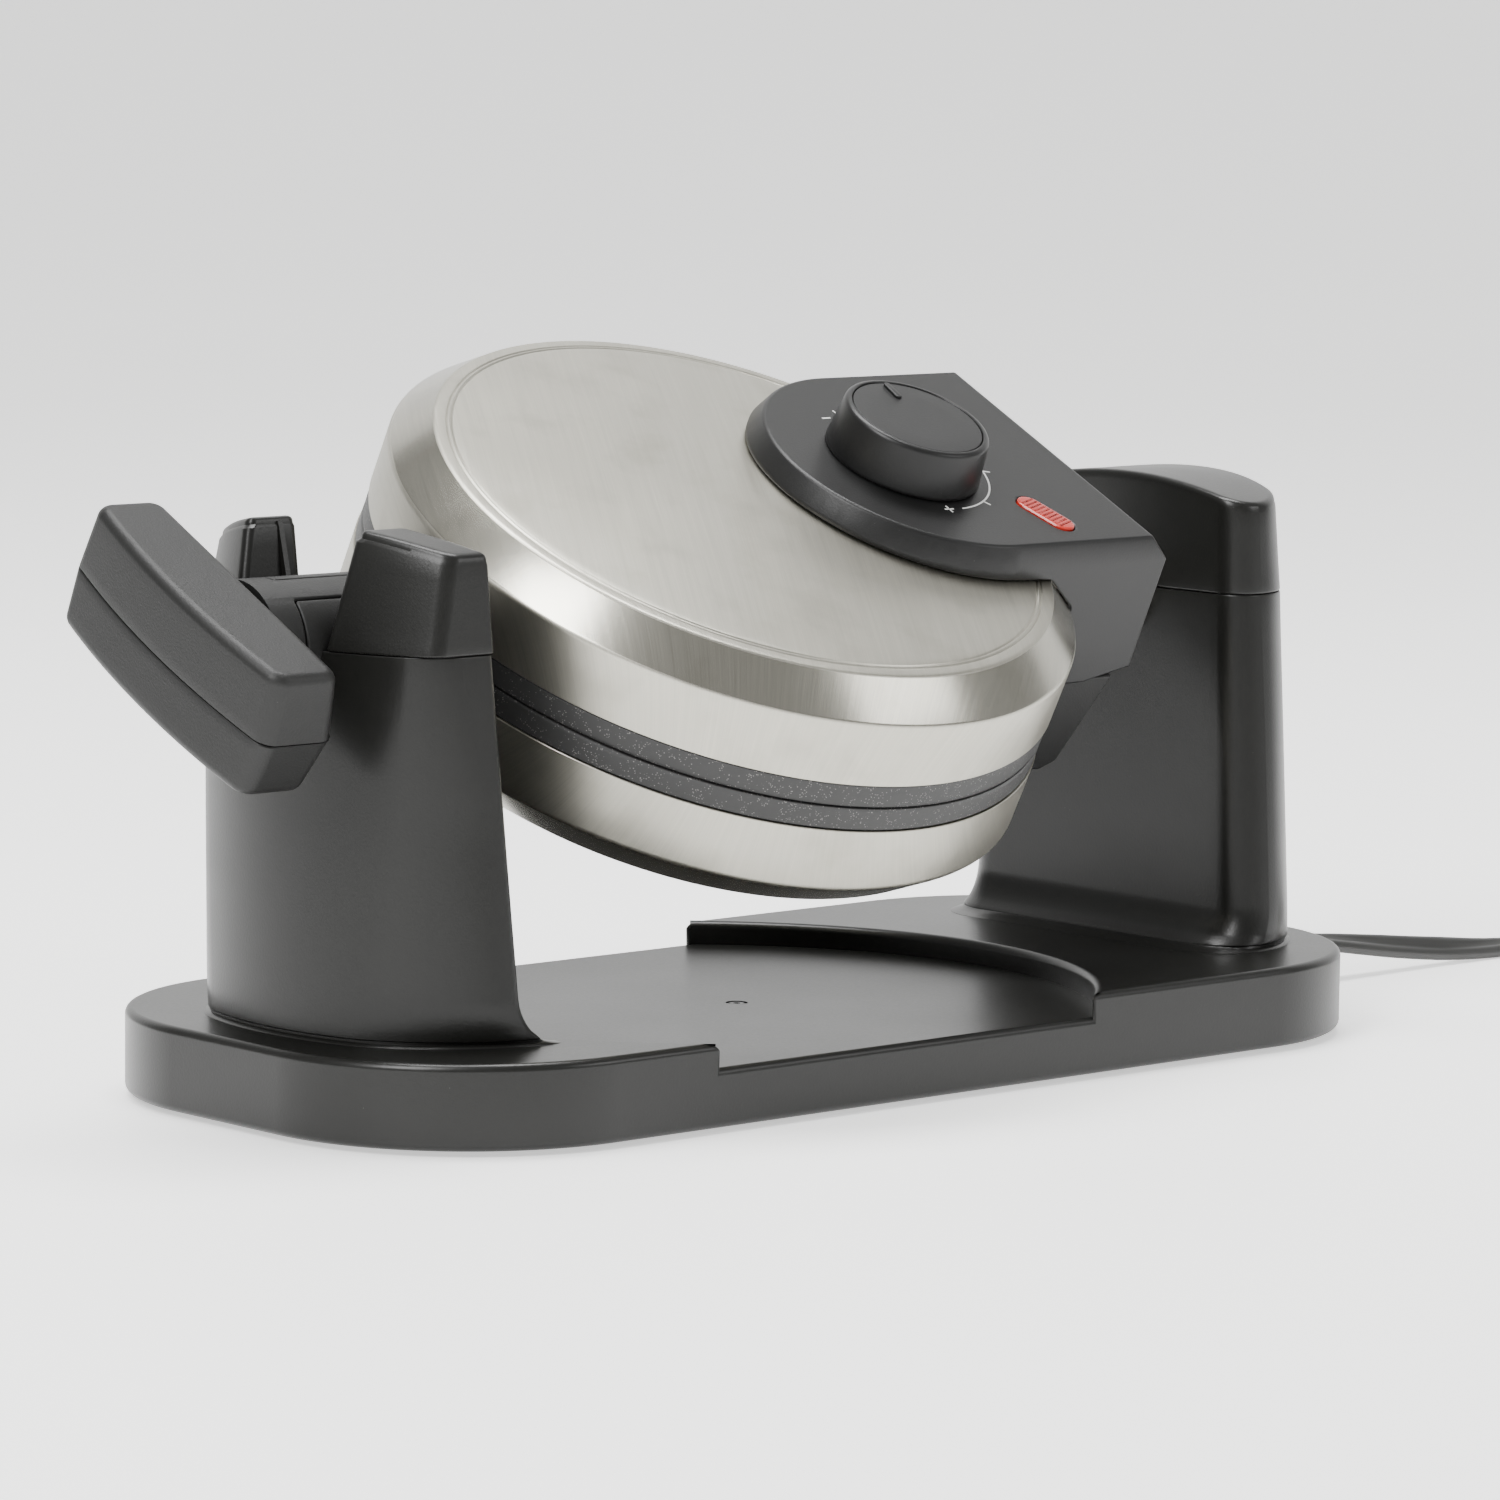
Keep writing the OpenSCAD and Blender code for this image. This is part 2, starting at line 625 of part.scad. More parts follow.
module detent_spring() color(steel_grey) {
    h = guide_z - 4 - spring_z0 - 2 * spring_wire - 0.2;
    k = 12;
    path = [for (i = [0:spring_turns * k]) [spring_r * cos(360 * i / k), spring_r * sin(360 * i / k),
        spring_wire + 0.05 + h * i / (spring_turns * k)]];
    m = 6;
    pts = [for (p = path) let (r = [p[0], p[1], 0] / spring_r) for (j = [0:m - 1])
        p + r * spring_wire * cos(360 * j / m) + [0, 0, spring_wire * sin(360 * j / m)]];
    faces = [for (i = [0:len(path) - 2]) for (j = [0:m - 1])
        [i * m + j, (i + 1) * m + j, (i + 1) * m + (j + 1) % m, i * m + (j + 1) % m]];
    ends = [[for (j = [0:m - 1]) j], [for (j = [m - 1:-1:0]) (len(path) - 1) * m + j]];
    translate([disc_x + disc_t / 2, 0, spring_z0]) polyhedron(pts, concat(faces, ends), convexity = 6);
}

module terminal_block() color([0.9, 0.88, 0.8]) difference() {
    span([block_x - 8, -18, base_z + cover_t], [block_x + 8, 18, base_z + 12.5]);
    for (y = [-12, 0, 12]) {
        translate([0, y, base_z + 7.5]) rod(block_x - 10, block_x + 10, 2);
        translate([block_x, y, base_z + 6.5]) cylinder(r = 2.4, h = 10);
    }
}

// Tapered rubber sleeve where the cord leaves the base.
module strain_relief() color([0.06, 0.06, 0.06]) translate([base_l / 2, 0, cable_z]) difference() {
    union() {
        rod(-6, -wall - 0.1, relief_r + 1.2);
        rod(-wall - 0.2, 0.2, relief_r);
        rod(0.1, 2, relief_r + 1.2);
        translate([1.9, 0, 0]) rotate([0, 90, 0]) cylinder(r1 = relief_r - 0.4, r2 = cord_w / 2 + 1.1, h = 22);
    }
    rotate([90, 0, 90]) linear_extrude(80, center = true) round_rect(cord_w, cord_t, cord_t / 2 - 0.05);
    for (i = [0:3]) translate([6 + 4.4 * i, 0, 0]) difference() {
        rod(0, 1.6, relief_r);
        rod(-1, 3, cord_w / 2 + 0.7);
    }
}

// ---------- cord ----------

module cord() color([0.12, 0.12, 0.12])
    flat_cord(concat([[base_l / 2 + 0.5, 0, cable_z], [base_l / 2 + 3, 0, cable_z]], out_route));

module cord_coil() color([0.12, 0.12, 0.12]) translate([coil_at[0], coil_at[1], 0])
    rotate_extrude() translate([coil_r - cord_w / 2, 0.1]) square([cord_w, (coil_turns + 1) * (cord_t + 0.1)]);

module cord_return() color([0.12, 0.12, 0.12]) flat_cord(back_route);

// Two-blade plug, lying flat beside the coil.
module at_plug() { translate(plug_at) rotate(plug_turn) rotate([0, -90, 0]) children(); }

module plug() color([0.1, 0.1, 0.1]) at_plug() difference() {
    union() {
        cylinder(r1 = 5.4, r2 = 7.8, h = plug_l - 18);
        translate([0, 0, plug_l - 18]) linear_extrude(18) round_rect(16, 25, 7);
    }
    for (y = [-blade_y, blade_y]) span([-4.3, y - 0.9, plug_l - 3], [4.3, y + 0.9, plug_l + 1]);
}

module plug_pins() color(brass) at_plug() for (m = [-1, 1])
    span([-3.6 + m * 0.4, m * blade_y - 0.75, plug_l - 2.9], [3.6 - m * 0.4, m * blade_y + 0.75, plug_l + blade_l]);

// ---------- lower half of the drum ----------

module lower_cover() color(steel_grey) on_drum() mirror([0, 0, 1]) difference() {
    cover_shell();
    for (y = [-14, 14]) translate([0, y, grip_screw_z]) rod(-flange_x - 1, 22 - drum_r, 1.7);
    // way for the wires into the rear housing
    span([drum_r - 8, -9, 12], [drum_r + 5, 9, 22]);
}

module lower_plate() color(plate_black) on_drum() mirror([0, 0, 1]) plate();
module lower_heater() color([0.35, 0.33, 0.3]) on_drum() mirror([0, 0, 1]) heater_seat() heater();
module lower_clamp() color(steel_grey) on_drum() mirror([0, 0, 1]) clamp_bar();

module lower_side(i) {
    polygon([[drum_r - 32, -0.5], [rear_x - 1.8 - i, -0.5], [rear_x - 11.5 - i, -29.4 + i * 0.6],
        [rear_x - 17 - i, -32 + i], [drum_r - 32, -32 + i]]);
}

module lower_housing() color(black) on_drum() difference() {
    union() {
        difference() {
            across(-lower_hw, lower_hw) lower_side(0);
            across(-lower_hw + hw, lower_hw - hw) lower_side(hw);
            span([drum_r + 4, -lower_hw + hw, -2.5], [rear_x + 5, lower_hw - hw, 5]);
        }
        // boss that grips the rear shaft, on its web
        rod(drum_r + 1.5, boss_x, 9);
        span([drum_r + 1.5, -2, -31], [boss_x - 8, 2, -4]);
        span([drum_r + 1.5, -2, -24], [boss_x - 3, 2, -4]);
        // slotted ears of the floating hinge
        for (m = [-1, 1]) translate([0, m * (ear_y - 2.5), 0]) {
            span([hinge_x - hinge_eye, -2.5, -30], [hinge_x + hinge_eye - 4, 2.5, hinge_z + float_h]);
            span([hinge_x - hinge_eye, -2.5, -12], [hinge_x + hinge_eye, 2.5, hinge_z + float_h]);
            for (z = [hinge_z + float_h]) translate([hinge_x, 2.5, z]) rotate([90, 0, 0])
                cylinder(r = hinge_eye, h = 5);
        }
    }
    half_shell(seat, -1);
    mirror([0, 0, 1]) half_shell(seat, -1);
    rod(drum_r - 2, rear_x + 2, neck_r + 0.02);
    span([boss_x - 0.1, -9.5, -9.5], [boss_x + 11, 9.5, 5]);
    // slots for the pin
    for (z = [hinge_z, hinge_z + float_h]) translate([hinge_x, 50, z]) rotate([90, 0, 0])
        cylinder(r = pin_r + run, h = 100);
    span([hinge_x - pin_r - run, -50, hinge_z], [hinge_x + pin_r + run, 50, hinge_z + float_h]);
}

// Hollow shaft that carries the drum and leads the wires through.
module rear_shaft() color(steel_grey) on_drum() difference() {
    union() {
        rod(drum_r + 0.8, neck_x + 0.1, neck_r);
        rod(neck_x, disc_x - drum_x + disc_t + 7, shaft_r);
        rod(drum_r + 0.7, drum_r + 1.4, 8);
    }
    rod(drum_r - 20, 2 * base_l, bore_r);
}

// Disc with two notches half a turn apart that the plunger drops into.
module index_disc() color(black) on_drum() difference() {
    rod(disc_x - drum_x, disc_x - drum_x + disc_t, disc_r);
    rod(disc_x - drum_x - 2, disc_x - drum_x + disc_t + 2, shaft_r + 0.02);
    for (m = [0, 1]) mirror([0, 0, m]) translate([0, 0, disc_r + 1.2])
        rod(disc_x - drum_x - 2, disc_x - drum_x + disc_t + 2, 3.4);
}

module shaft_ring() color(steel_grey) on_drum() difference() {
    rod(disc_x - drum_x + disc_t + 0.3, disc_x - drum_x + disc_t + 2.3, shaft_r + 3.5);
    rod(disc_x, disc_x + 60, shaft_r + 0.02);
}

// Half of the grip: s = 1 upper, s = -1 lower, h its height.
module grip_half(s, h) {
    sag = 4.5;
    arc_r = (grip_hl * grip_hl + sag * sag) / (2 * sag);
    module plan(i) {
        intersection() {
            translate([-(grip_in + grip_out) / 2, 0])
                round_rect(grip_out - grip_in - 2 * i * 0.4, 2 * (grip_hl - i), 4, $fn = 24);
            translate([-grip_out + i * 0.4 + arc_r, 0]) circle(arc_r, $fn = 240);
        }
    }
    hull() {
        translate([0, 0, s > 0 ? part_gap : -part_gap - 0.02]) linear_extrude(0.02) plan(0);
        translate([0, 0, s > 0 ? h - 2 : -h + 2]) linear_extrude(0.02) translate([-2, 0]) plan(2.4);
        translate([0, 0, s > 0 ? h - 0.02 : -h]) linear_extrude(0.02) translate([-2, 0]) plan(4.4);
    }
}

// Half of the round flange that sits on the drum's wall.
module root_flange(s) {
    intersection() {
        union() {
            rod(-flange_x, 14 - drum_r, flange_r);
            translate([-flange_x - 4.9, 0, 0]) rotate([0, 90, 0]) cylinder(r1 = stem_r - 0.5, r2 = flange_r, h = 5);
        }
        mirror([0, 0, s > 0 ? 0 : 1]) span([-front_in_r, -30, part_gap], [20 - drum_r, 30, 30]);
    }
}

module lower_grip() color(black) on_drum() difference() {
    union() {
        grip_half(-1, grip_dn);
        difference() {
            rod(-grip_in - 2, 2 - drum_r, stem_r);
            span([-grip_in - 5, -30, -part_gap], [journal_out, 30, 30]);
            span([journal_in, -30, -part_gap], [20 - drum_r, 30, 30]);
            span([journal_out - 5, -tongue_w - 0.3, tongue_z - 0.3], [journal_in + 5, tongue_w + 0.3, 30]);
        }
        root_flange(-1);
    }
    half_shell(seat, -1);
    mirror([0, 0, 1]) half_shell(seat, -1);
    for (y = [-14, 14]) translate([0, y, -grip_screw_z]) rod(0.5 - flange_x, 22 - drum_r, 1.5);
    for (y = [-34, 34]) translate([-(grip_in + grip_out) / 2, y, -grip_dn - 1]) cylinder(r = 3.2, h = 9);
}

// Screws from inside the drum into the lower flange.
module grip_screws() color(steel_grey) on_drum() for (y = [-14, 14]) translate([0, y, -grip_screw_z]) {
    rod(1.5 - flange_x, 4 - drum_r, 1.45);
    rod(2.8 - drum_r, 4.8 - drum_r, 3);
}

module hinge_pin() color(steel_grey) on_drum() translate([hinge_x, 41, hinge_z]) rotate([90, 0, 0])
    cylinder(r = pin_r, h = 82);

// ---------- lid ----------

module upper_cover() color(steel_grey) on_drum() difference() {
    cover_shell();
    translate([knob_x, 0, drum_h - 6]) cylinder(r = 15, h = 20);
    for (y = [-post_y, post_y]) translate([post_x, y, drum_h - 6]) cylinder(r = 1.7, h = 12);
    // opening under the housing for the wires
    span([drum_r - 20, -30, 12], [drum_r + 5, 30, drum_h + 10]);
}

module upper_plate() color(plate_black) on_drum() plate();
module upper_heater() color([0.35, 0.33, 0.3]) on_drum() heater_seat() heater();
module upper_clamp() color(steel_grey) on_drum() clamp_bar();

lens_at = [knob_x + 30, -32];
lens_turn = -72;
lens_l = 19;
lens_w = 8;

module control_housing() color(charcoal) on_drum() difference() {
    union() {
        difference() {
            panel_body();
            panel_body(hw);
            // notch for the ears and the shaft
            span([rear_x - 8, -ear_y - 1, -2], [rear_x + 5, ear_y + 1, hinge_z + 7]);
        }
        // knuckles of the hinge, hung from the roof
        for (m = [-1, 1]) translate([0, m * (ear_y + 3), 0]) {
            span([hinge_x - hinge_eye, -2, hinge_z], [hinge_x + hinge_eye, 2, face_z - hw + 0.2]);
            translate([hinge_x, 2, hinge_z]) rotate([90, 0, 0]) cylinder(r = hinge_eye, h = 4);
        }
        // boss under the knob
        translate([knob_x, 0, face_z - hw - 4]) cylinder(r = 8, h = 4.2);
        // screw posts that stand on the steel
        for (y = [-post_y, post_y]) translate([post_x, y, drum_h - 2])
            cylinder(r = 4, h = face_z - drum_h - hw + 2.2);
    }
    half_shell(seat, -2);
    for (y = [-post_y, post_y]) translate([post_x, y, drum_h - 3]) cylinder(r = 1.5, h = 9.5);
    translate([knob_x, 0, 0]) cylinder(r = spindle_r + 0.4, h = 80);
    translate([hinge_x, 50, hinge_z]) rotate([90, 0, 0]) cylinder(r = pin_r + run, h = 100);
    translate([lens_at[0], lens_at[1], face_z - 6]) rotate(lens_turn) linear_extrude(20)
        round_rect(lens_l + 0.2, lens_w + 0.2, (lens_w + 0.2) / 2 - 0.01);
}

// Screws from inside the cover up into the housing's posts.
module panel_screws() color(steel_grey) on_drum() for (y = [-post_y, post_y]) translate([post_x, y, drum_h]) {
    translate([0, 0, -2.5]) cylinder(r = 3, h = 1.9);
    translate([0, 0, -2.5]) cylinder(r = 1.45, h = 8);
}

// Capillary thermostat on the back of the upper plate.
module thermostat() color([0.75, 0.72, 0.66]) on_drum() translate([knob_x, 0, 0]) difference() {
    union() {
        translate([0, 0, cavity_d + plate_t + 0.1]) cylinder(r = 10, h = 4);
        translate([0, 0, cavity_d + plate_t + 4]) cylinder(r = 13, h = drum_h - 24);
        translate([0, 0, 30]) cylinder(r = 5.5, h = face_z - hw - 4.3 - 30);
    }
    translate([0, 0, 30]) cylinder(r = spindle_r + run, h = 40);
}

module lamp_lens() color([0.8, 0.2, 0.15, 0.8]) on_drum()
    translate([lens_at[0], lens_at[1], face_z]) rotate(lens_turn) {
        translate([0, 0, -3.5]) linear_extrude(4.1) round_rect(lens_l, lens_w, lens_w / 2 - 0.01);
        translate([0, 0, -4.4]) linear_extrude(1.7) round_rect(lens_l + 3, lens_w + 3, (lens_w + 3) / 2 - 0.01);
    }

module neon_lamp() color([0.95, 0.8, 0.7]) on_drum()
    translate([lens_at[0], lens_at[1], face_z - 7.6]) rotate(lens_turn) rotate([0, 90, 0])
        cylinder(r = 2.9, h = 14, center = true);

module upper_grip() color(black) on_drum() difference() {
    union() {
        grip_half(1, grip_up);
        difference() {
            rod(-grip_in - 2, 2 - drum_r, stem_r);
            span([-grip_in - 5, -30, -30], [20 - drum_r, 30, part_gap]);
            difference() {
                span([journal_out - 0.4, -30, -30], [journal_in + 0.4, 30, 30]);
                span([journal_out - 5, -tongue_w, tongue_z], [journal_in + 5, tongue_w, 30]);
            }
        }
        root_flange(1);
    }
    half_shell(seat, -1);
}

// ---------- knob ----------

module spindle() color(steel_grey) on_drum() translate([knob_x, 0, 31])
    cylinder(r = spindle_r, h = face_z + 8 - 31);

module knob() color(black) on_drum() translate([knob_x, 0, face_z + 0.3]) difference() {
    union() {
        cylinder(r1 = knob_r, r2 = knob_r - 1.7, h = knob_h - 1);
        translate([0, 0, knob_h - 1.01]) cylinder(r1 = knob_r - 1.7, r2 = knob_r - 2.7, h = 1);
    }
    translate([0, 0, knob_h - 2]) cylinder(r = knob_r - 3.6, h = 5);
    translate([0, 0, -1]) difference() {
        cylinder(r = knob_r - 3, h = knob_h - 4);
        cylinder(r = 6, h = knob_h);
    }
    translate([0, 0, -1]) cylinder(r = spindle_r + 0.02, h = 9.2);
}

module knob_cap() color(black) on_drum() translate([knob_x, 0, face_z + 0.3 + knob_h - 1.95]) {
    cylinder(r = knob_r - 3.65, h = 1.75);
    rotate(83) translate([14.5, 0, 1.7]) linear_extrude(0.7) round_rect(8, 2, 0.95);
}

base_shell();
fork_tower();
rear_tower();
tower_screws();
base_cover();
feet();
base_screws();
fork_cap();
rear_cap();
cap_screws();
bearing_bush();
detent_guide();
detent_plunger();
detent_spring();
terminal_block();
strain_relief();
cord();
cord_coil();
cord_return();
plug();
plug_pins();
lower_cover();
lower_plate();
lower_heater();
lower_clamp();
lower_housing();
rear_shaft();
index_disc();
shaft_ring();
lower_grip();
grip_screws();
hinge_pin();
upper_cover();
upper_plate();
upper_heater();
upper_clamp();
control_housing();
panel_screws();
thermostat();
lamp_lens();
neon_lamp();
upper_grip();
spindle();
knob();
knob_cap();
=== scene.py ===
import math

import bmesh
import bpy
import numpy as np
from mathutils import Matrix, Vector


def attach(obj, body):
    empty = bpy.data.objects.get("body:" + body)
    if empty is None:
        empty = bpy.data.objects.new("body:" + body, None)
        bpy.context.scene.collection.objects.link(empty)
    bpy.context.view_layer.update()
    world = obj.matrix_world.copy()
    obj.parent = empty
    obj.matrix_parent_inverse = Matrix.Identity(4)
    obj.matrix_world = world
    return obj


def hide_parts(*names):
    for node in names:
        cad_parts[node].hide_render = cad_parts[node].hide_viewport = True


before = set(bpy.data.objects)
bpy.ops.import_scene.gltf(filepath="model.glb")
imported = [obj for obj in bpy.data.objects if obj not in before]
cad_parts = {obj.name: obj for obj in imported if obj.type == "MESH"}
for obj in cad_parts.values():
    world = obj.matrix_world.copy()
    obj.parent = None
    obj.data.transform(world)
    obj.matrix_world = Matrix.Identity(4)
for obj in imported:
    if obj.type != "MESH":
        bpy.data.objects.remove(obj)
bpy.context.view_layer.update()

# ----------------------------------------
# The camera stands low at the grip end of the appliance, with a long lens,
# and looks along the base towards the end that the cord leaves.
CAMERA_AT = Vector((-1.2308, -1.3770, 0.3098))
CAMERA_TURN, CAMERA_DROP, CAMERA_ROLL = np.radians((41.73, 6.81, 0.652)).tolist()
LENS_MM, SENSOR_MM = 155.81, 36


def linked(name, data):
    """A new object in the scene."""
    item = bpy.data.objects.new(name, data)
    bpy.context.scene.collection.objects.link(item)
    return item


def set_camera():
    ahead = Vector((math.sin(CAMERA_TURN) * math.cos(CAMERA_DROP),
                    math.cos(CAMERA_TURN) * math.cos(CAMERA_DROP), -math.sin(CAMERA_DROP)))
    right = Vector((math.cos(CAMERA_TURN), -math.sin(CAMERA_TURN), 0))
    up = right.cross(ahead)
    c, s = math.cos(CAMERA_ROLL), math.sin(CAMERA_ROLL)
    right, up = c * right + s * up, c * up - s * right
    turn = Matrix((right, up, -ahead)).transposed().to_4x4()
    data = bpy.data.cameras.new("camera")
    data.lens, data.sensor_width, data.sensor_fit = LENS_MM, SENSOR_MM, "HORIZONTAL"
    data.clip_start, data.clip_end = 0.05, 50
    camera = linked("camera", data)
    camera.matrix_world = Matrix.Translation(CAMERA_AT) @ turn
    bpy.context.scene.camera = camera


set_camera()


# ----------------------------------------
# Finishes and meshes: what the pieces below are made with.
class Dye:
    """One socket of a finish; arithmetic on it adds Math nodes."""

    def __init__(self, finish, socket):
        self.finish, self.socket = finish, socket


def dye_operator(operation, swapped=False):
    def apply(dye, other):
        values = (other, dye) if swapped else (dye, other)
        return dye.finish.add("ShaderNodeMath", {"operation": operation}, dict(enumerate(values)))["Value"]

    return apply


for sign, operation in (("add", "ADD"), ("sub", "SUBTRACT"), ("mul", "MULTIPLY"), ("truediv", "DIVIDE"),
                        ("pow", "POWER"), ("gt", "GREATER_THAN"), ("lt", "LESS_THAN")):
    setattr(Dye, f"__{sign}__", dye_operator(operation))
for sign, operation in (("add", "ADD"), ("sub", "SUBTRACT"), ("mul", "MULTIPLY")):
    setattr(Dye, f"__r{sign}__", dye_operator(operation, swapped=True))


class Finish:
    """One procedural finish, built node by node and ending in a Principled surface."""

    def __init__(self, name):
        self.material = bpy.data.materials.new(name)
        self.material.use_nodes = True
        self.tree = self.material.node_tree
        self.tree.nodes.clear()
        self.place = self.add("ShaderNodeTexCoord")["Object"]

    def add(self, kind, settings=None, sockets=None):
        node = self.tree.nodes.new(kind)
        for key, value in (settings or {}).items():
            if key == "stops":
                ramp = node.color_ramp
                while len(ramp.elements) < len(value):
                    ramp.elements.new(1.0)
                for element, (at, shade) in zip(ramp.elements, value):
                    element.position, element.color = at, (shade, shade, shade, 1)
            else:
                setattr(node, key, value)
        for key, value in (sockets or {}).items():
            socket = node.inputs[key]
            if isinstance(value, Dye):
                self.tree.links.new(value.socket, socket)
            elif socket.type == "RGBA" and len(value) == 3:
                socket.default_value = (*value, 1)
            else:
                socket.default_value = value
        return {out.name: Dye(self, out) for out in node.outputs if out.enabled}

    def noise(self, scale, detail, stretch=None, place=None):
        place = place or self.place
        if stretch is not None:
            place = self.add("ShaderNodeMapping", None, {"Vector": place, "Scale": stretch})["Vector"]
        sockets = {"Vector": place, "Scale": scale, "Detail": detail}
        return self.add("ShaderNodeTexNoise", None, sockets)["Fac"]

    def ramp(self, value, *stops):
        return self.add("ShaderNodeValToRGB", {"stops": stops}, {"Fac": value})["Color"]

    def blend(self, share, low, high):
        return self.add("ShaderNodeMix", {"data_type": "RGBA"}, {0: share, 6: low, 7: high})["Result"]

    def cells(self, scale):
        return self.add("ShaderNodeTexVoronoi", None, {"Vector": self.place, "Scale": scale})["Distance"]

    def bump(self, height, depth, strength):
        sockets = {"Height": height, "Distance": depth, "Strength": strength}
        return self.add("ShaderNodeBump", None, sockets)["Normal"]

    def surface(self, **values):
        names = {"color": "Base Color", "rough": "Roughness", "metal": "Metallic", "normal": "Normal",
                 "gloss": "Specular IOR Level", "glow": "Emission Strength", "glow_color": "Emission Color"}
        shader = self.add("ShaderNodeBsdfPrincipled", None, {names[k]: v for k, v in values.items()})["BSDF"]
        self.add("ShaderNodeOutputMaterial", None, {"Surface": shader})
        return self.material


def scaled(colour, by):
    return tuple(c * by for c in colour)


def vinyl(name, colour):
    """Soft vinyl: a low sheen, faint mottling and a fine grain."""
    finish = Finish(name)
    cloud = finish.noise(70.0, 3.0)
    grain = finish.noise(1500.0, 2.0)
    tint = finish.blend(cloud, colour, scaled(colour, 1.7))
    return finish.surface(color=tint, rough=0.36 + 0.16 * cloud, normal=finish.bump(grain, 0.00004, 0.5))


def raw_mesh(name, verts, faces, uv=None):
    """A mesh object with its points given in millimetres, faces turned outwards."""
    mesh = bpy.data.meshes.new(name)
    mesh.from_pydata([tuple(v) for v in np.asarray(verts, float) * 0.001], [], [tuple(f) for f in faces])
    if uv is not None:
        layer = mesh.uv_layers.new(name="run").data
        for loop in mesh.loops:
            layer[loop.index].uv = uv[loop.vertex_index]
    bm = bmesh.new()
    bm.from_mesh(mesh)
    bmesh.ops.remove_doubles(bm, verts=bm.verts, dist=2e-7)
    bmesh.ops.recalc_face_normals(bm, faces=bm.faces)
    bm.to_mesh(mesh)
    bm.free()
    return linked(name, mesh)


def dress(piece, finish, body, stands_for, sharp):
    """Gives a piece its finish, shades it smooth up to a crease angle and hangs it on its body."""
    mesh = piece.data
    mesh.materials.clear()
    mesh.materials.append(finish)
    mesh.polygons.foreach_set("material_index", [0] * len(mesh.polygons))
    mesh.polygons.foreach_set("use_smooth", [True] * len(mesh.polygons))
    mesh.set_sharp_from_angle(angle=math.radians(sharp))
    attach(piece, body)
    if stands_for:
        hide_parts(*stands_for)
    return piece


def bands(count, n):
    """The quads between rings of n points each."""
    return [(i * n + k, i * n + (k + 1) % n, (i + 1) * n + (k + 1) % n, (i + 1) * n + k)
            for i in range(count - 1) for k in range(n)]


def loft(rings):
    """Quads between rings of equal count, with a flat face on each end."""
    n, last = len(rings[0]), len(rings) - 1
    ends = [tuple(range(n - 1, -1, -1)), tuple(last * n + k for k in range(n))]
    return [v for ring in rings for v in ring], bands(len(rings), n) + ends


def run_along(path):
    """How far along a path each of its points is."""
    return np.concatenate([[0], np.cumsum(np.linalg.norm(np.diff(path, axis=0), axis=1))])


def smooth_route(points, step):
    """Catmull-Rom curve through the points, evenly stepped."""
    p = np.array(points, float)
    p = np.vstack([2 * p[0] - p[1], p, 2 * p[-1] - p[-2]])
    fine = []
    for i in range(1, len(p) - 2):
        a, b, c, d = p[i - 1:i + 3]
        for t in np.linspace(0, 1, 12, endpoint=False):
            fine.append(0.5 * (2 * b + (c - a) * t + (2 * a - 5 * b + 4 * c - d) * t ** 2
                               + (3 * b - a - 3 * c + d) * t ** 3))
    fine = np.array([*fine, p[-2]])
    run = run_along(fine)
    at = np.linspace(0, run[-1], int(run[-1] / step))
    return np.stack([np.interp(at, run, fine[:, k]) for k in range(3)], 1)


# ----------------------------------------
# The mains cord: two vinyl-covered cores side by side with a web between them,
# 8 by 4 mm, from a sleeve in the base's end to a two-blade plug. It turns on its
# edge as it leaves the base; its spare length lies in a flat-stacked coil.
CORD_W, CORD_T = 8.0, 4.0
CORD_OUT = [(191.5, 0, 14), (194, 0, 14), (200, 0, 14), (214, 0, 13.9), (228, 0, 13), (242, 0, 11.4),
            (257, 0, 9.4), (272, 0, 7.4), (287, 0, 5.6), (302, 0, 4.1), (317, 0, 3), (332, 0, 2.4),
            (350, 0, 2.1), (375, 0, 2.1), (400, 0, 2.1)]
CORD_BACK = [(421, -78.4, 12), (411, -82.6, 12), (400, -84, 12), (389, -82.6, 12), (379.5, -80, 12),
             (370, -77.4, 11.4), (358, -74.3, 10), (348.5, -71.7, 8.7), (342.5, -70.2, 8.1)]
COIL_AT, COIL_R, COIL_PITCH, COIL_STEPS = (400, -42), 42.0, 4.1, 48
COIL_START_DEG, COIL_END_DEG = 90, -60 - 2 * 360
# how far the cord turns on its edge, and what share of that it has at some distances along it
TWIST_DEG, TWIST_RUN, TWIST_SHARE = 58, (0, 28, 75, 100, 150), (0, 0, 0.8, 1, 0)
ROUTE_STEP, WEB_SHARE, LOBE_DEG, LIE_GAP = 2.2, 0.62, 112, 0.1


def cord_route():
    turns = []
    total = math.radians(COIL_START_DEG - COIL_END_DEG)
    steps = int(COIL_STEPS * total / (2 * math.pi))
    for k in range(1, steps):
        swept = total * k / steps
        a = math.radians(COIL_START_DEG) - swept
        turns.append((COIL_AT[0] + COIL_R * math.cos(a), COIL_AT[1] + COIL_R * math.sin(a),
                      CORD_OUT[-1][2] + COIL_PITCH * swept / (2 * math.pi)))
    return smooth_route(CORD_OUT + turns + CORD_BACK, ROUTE_STEP)


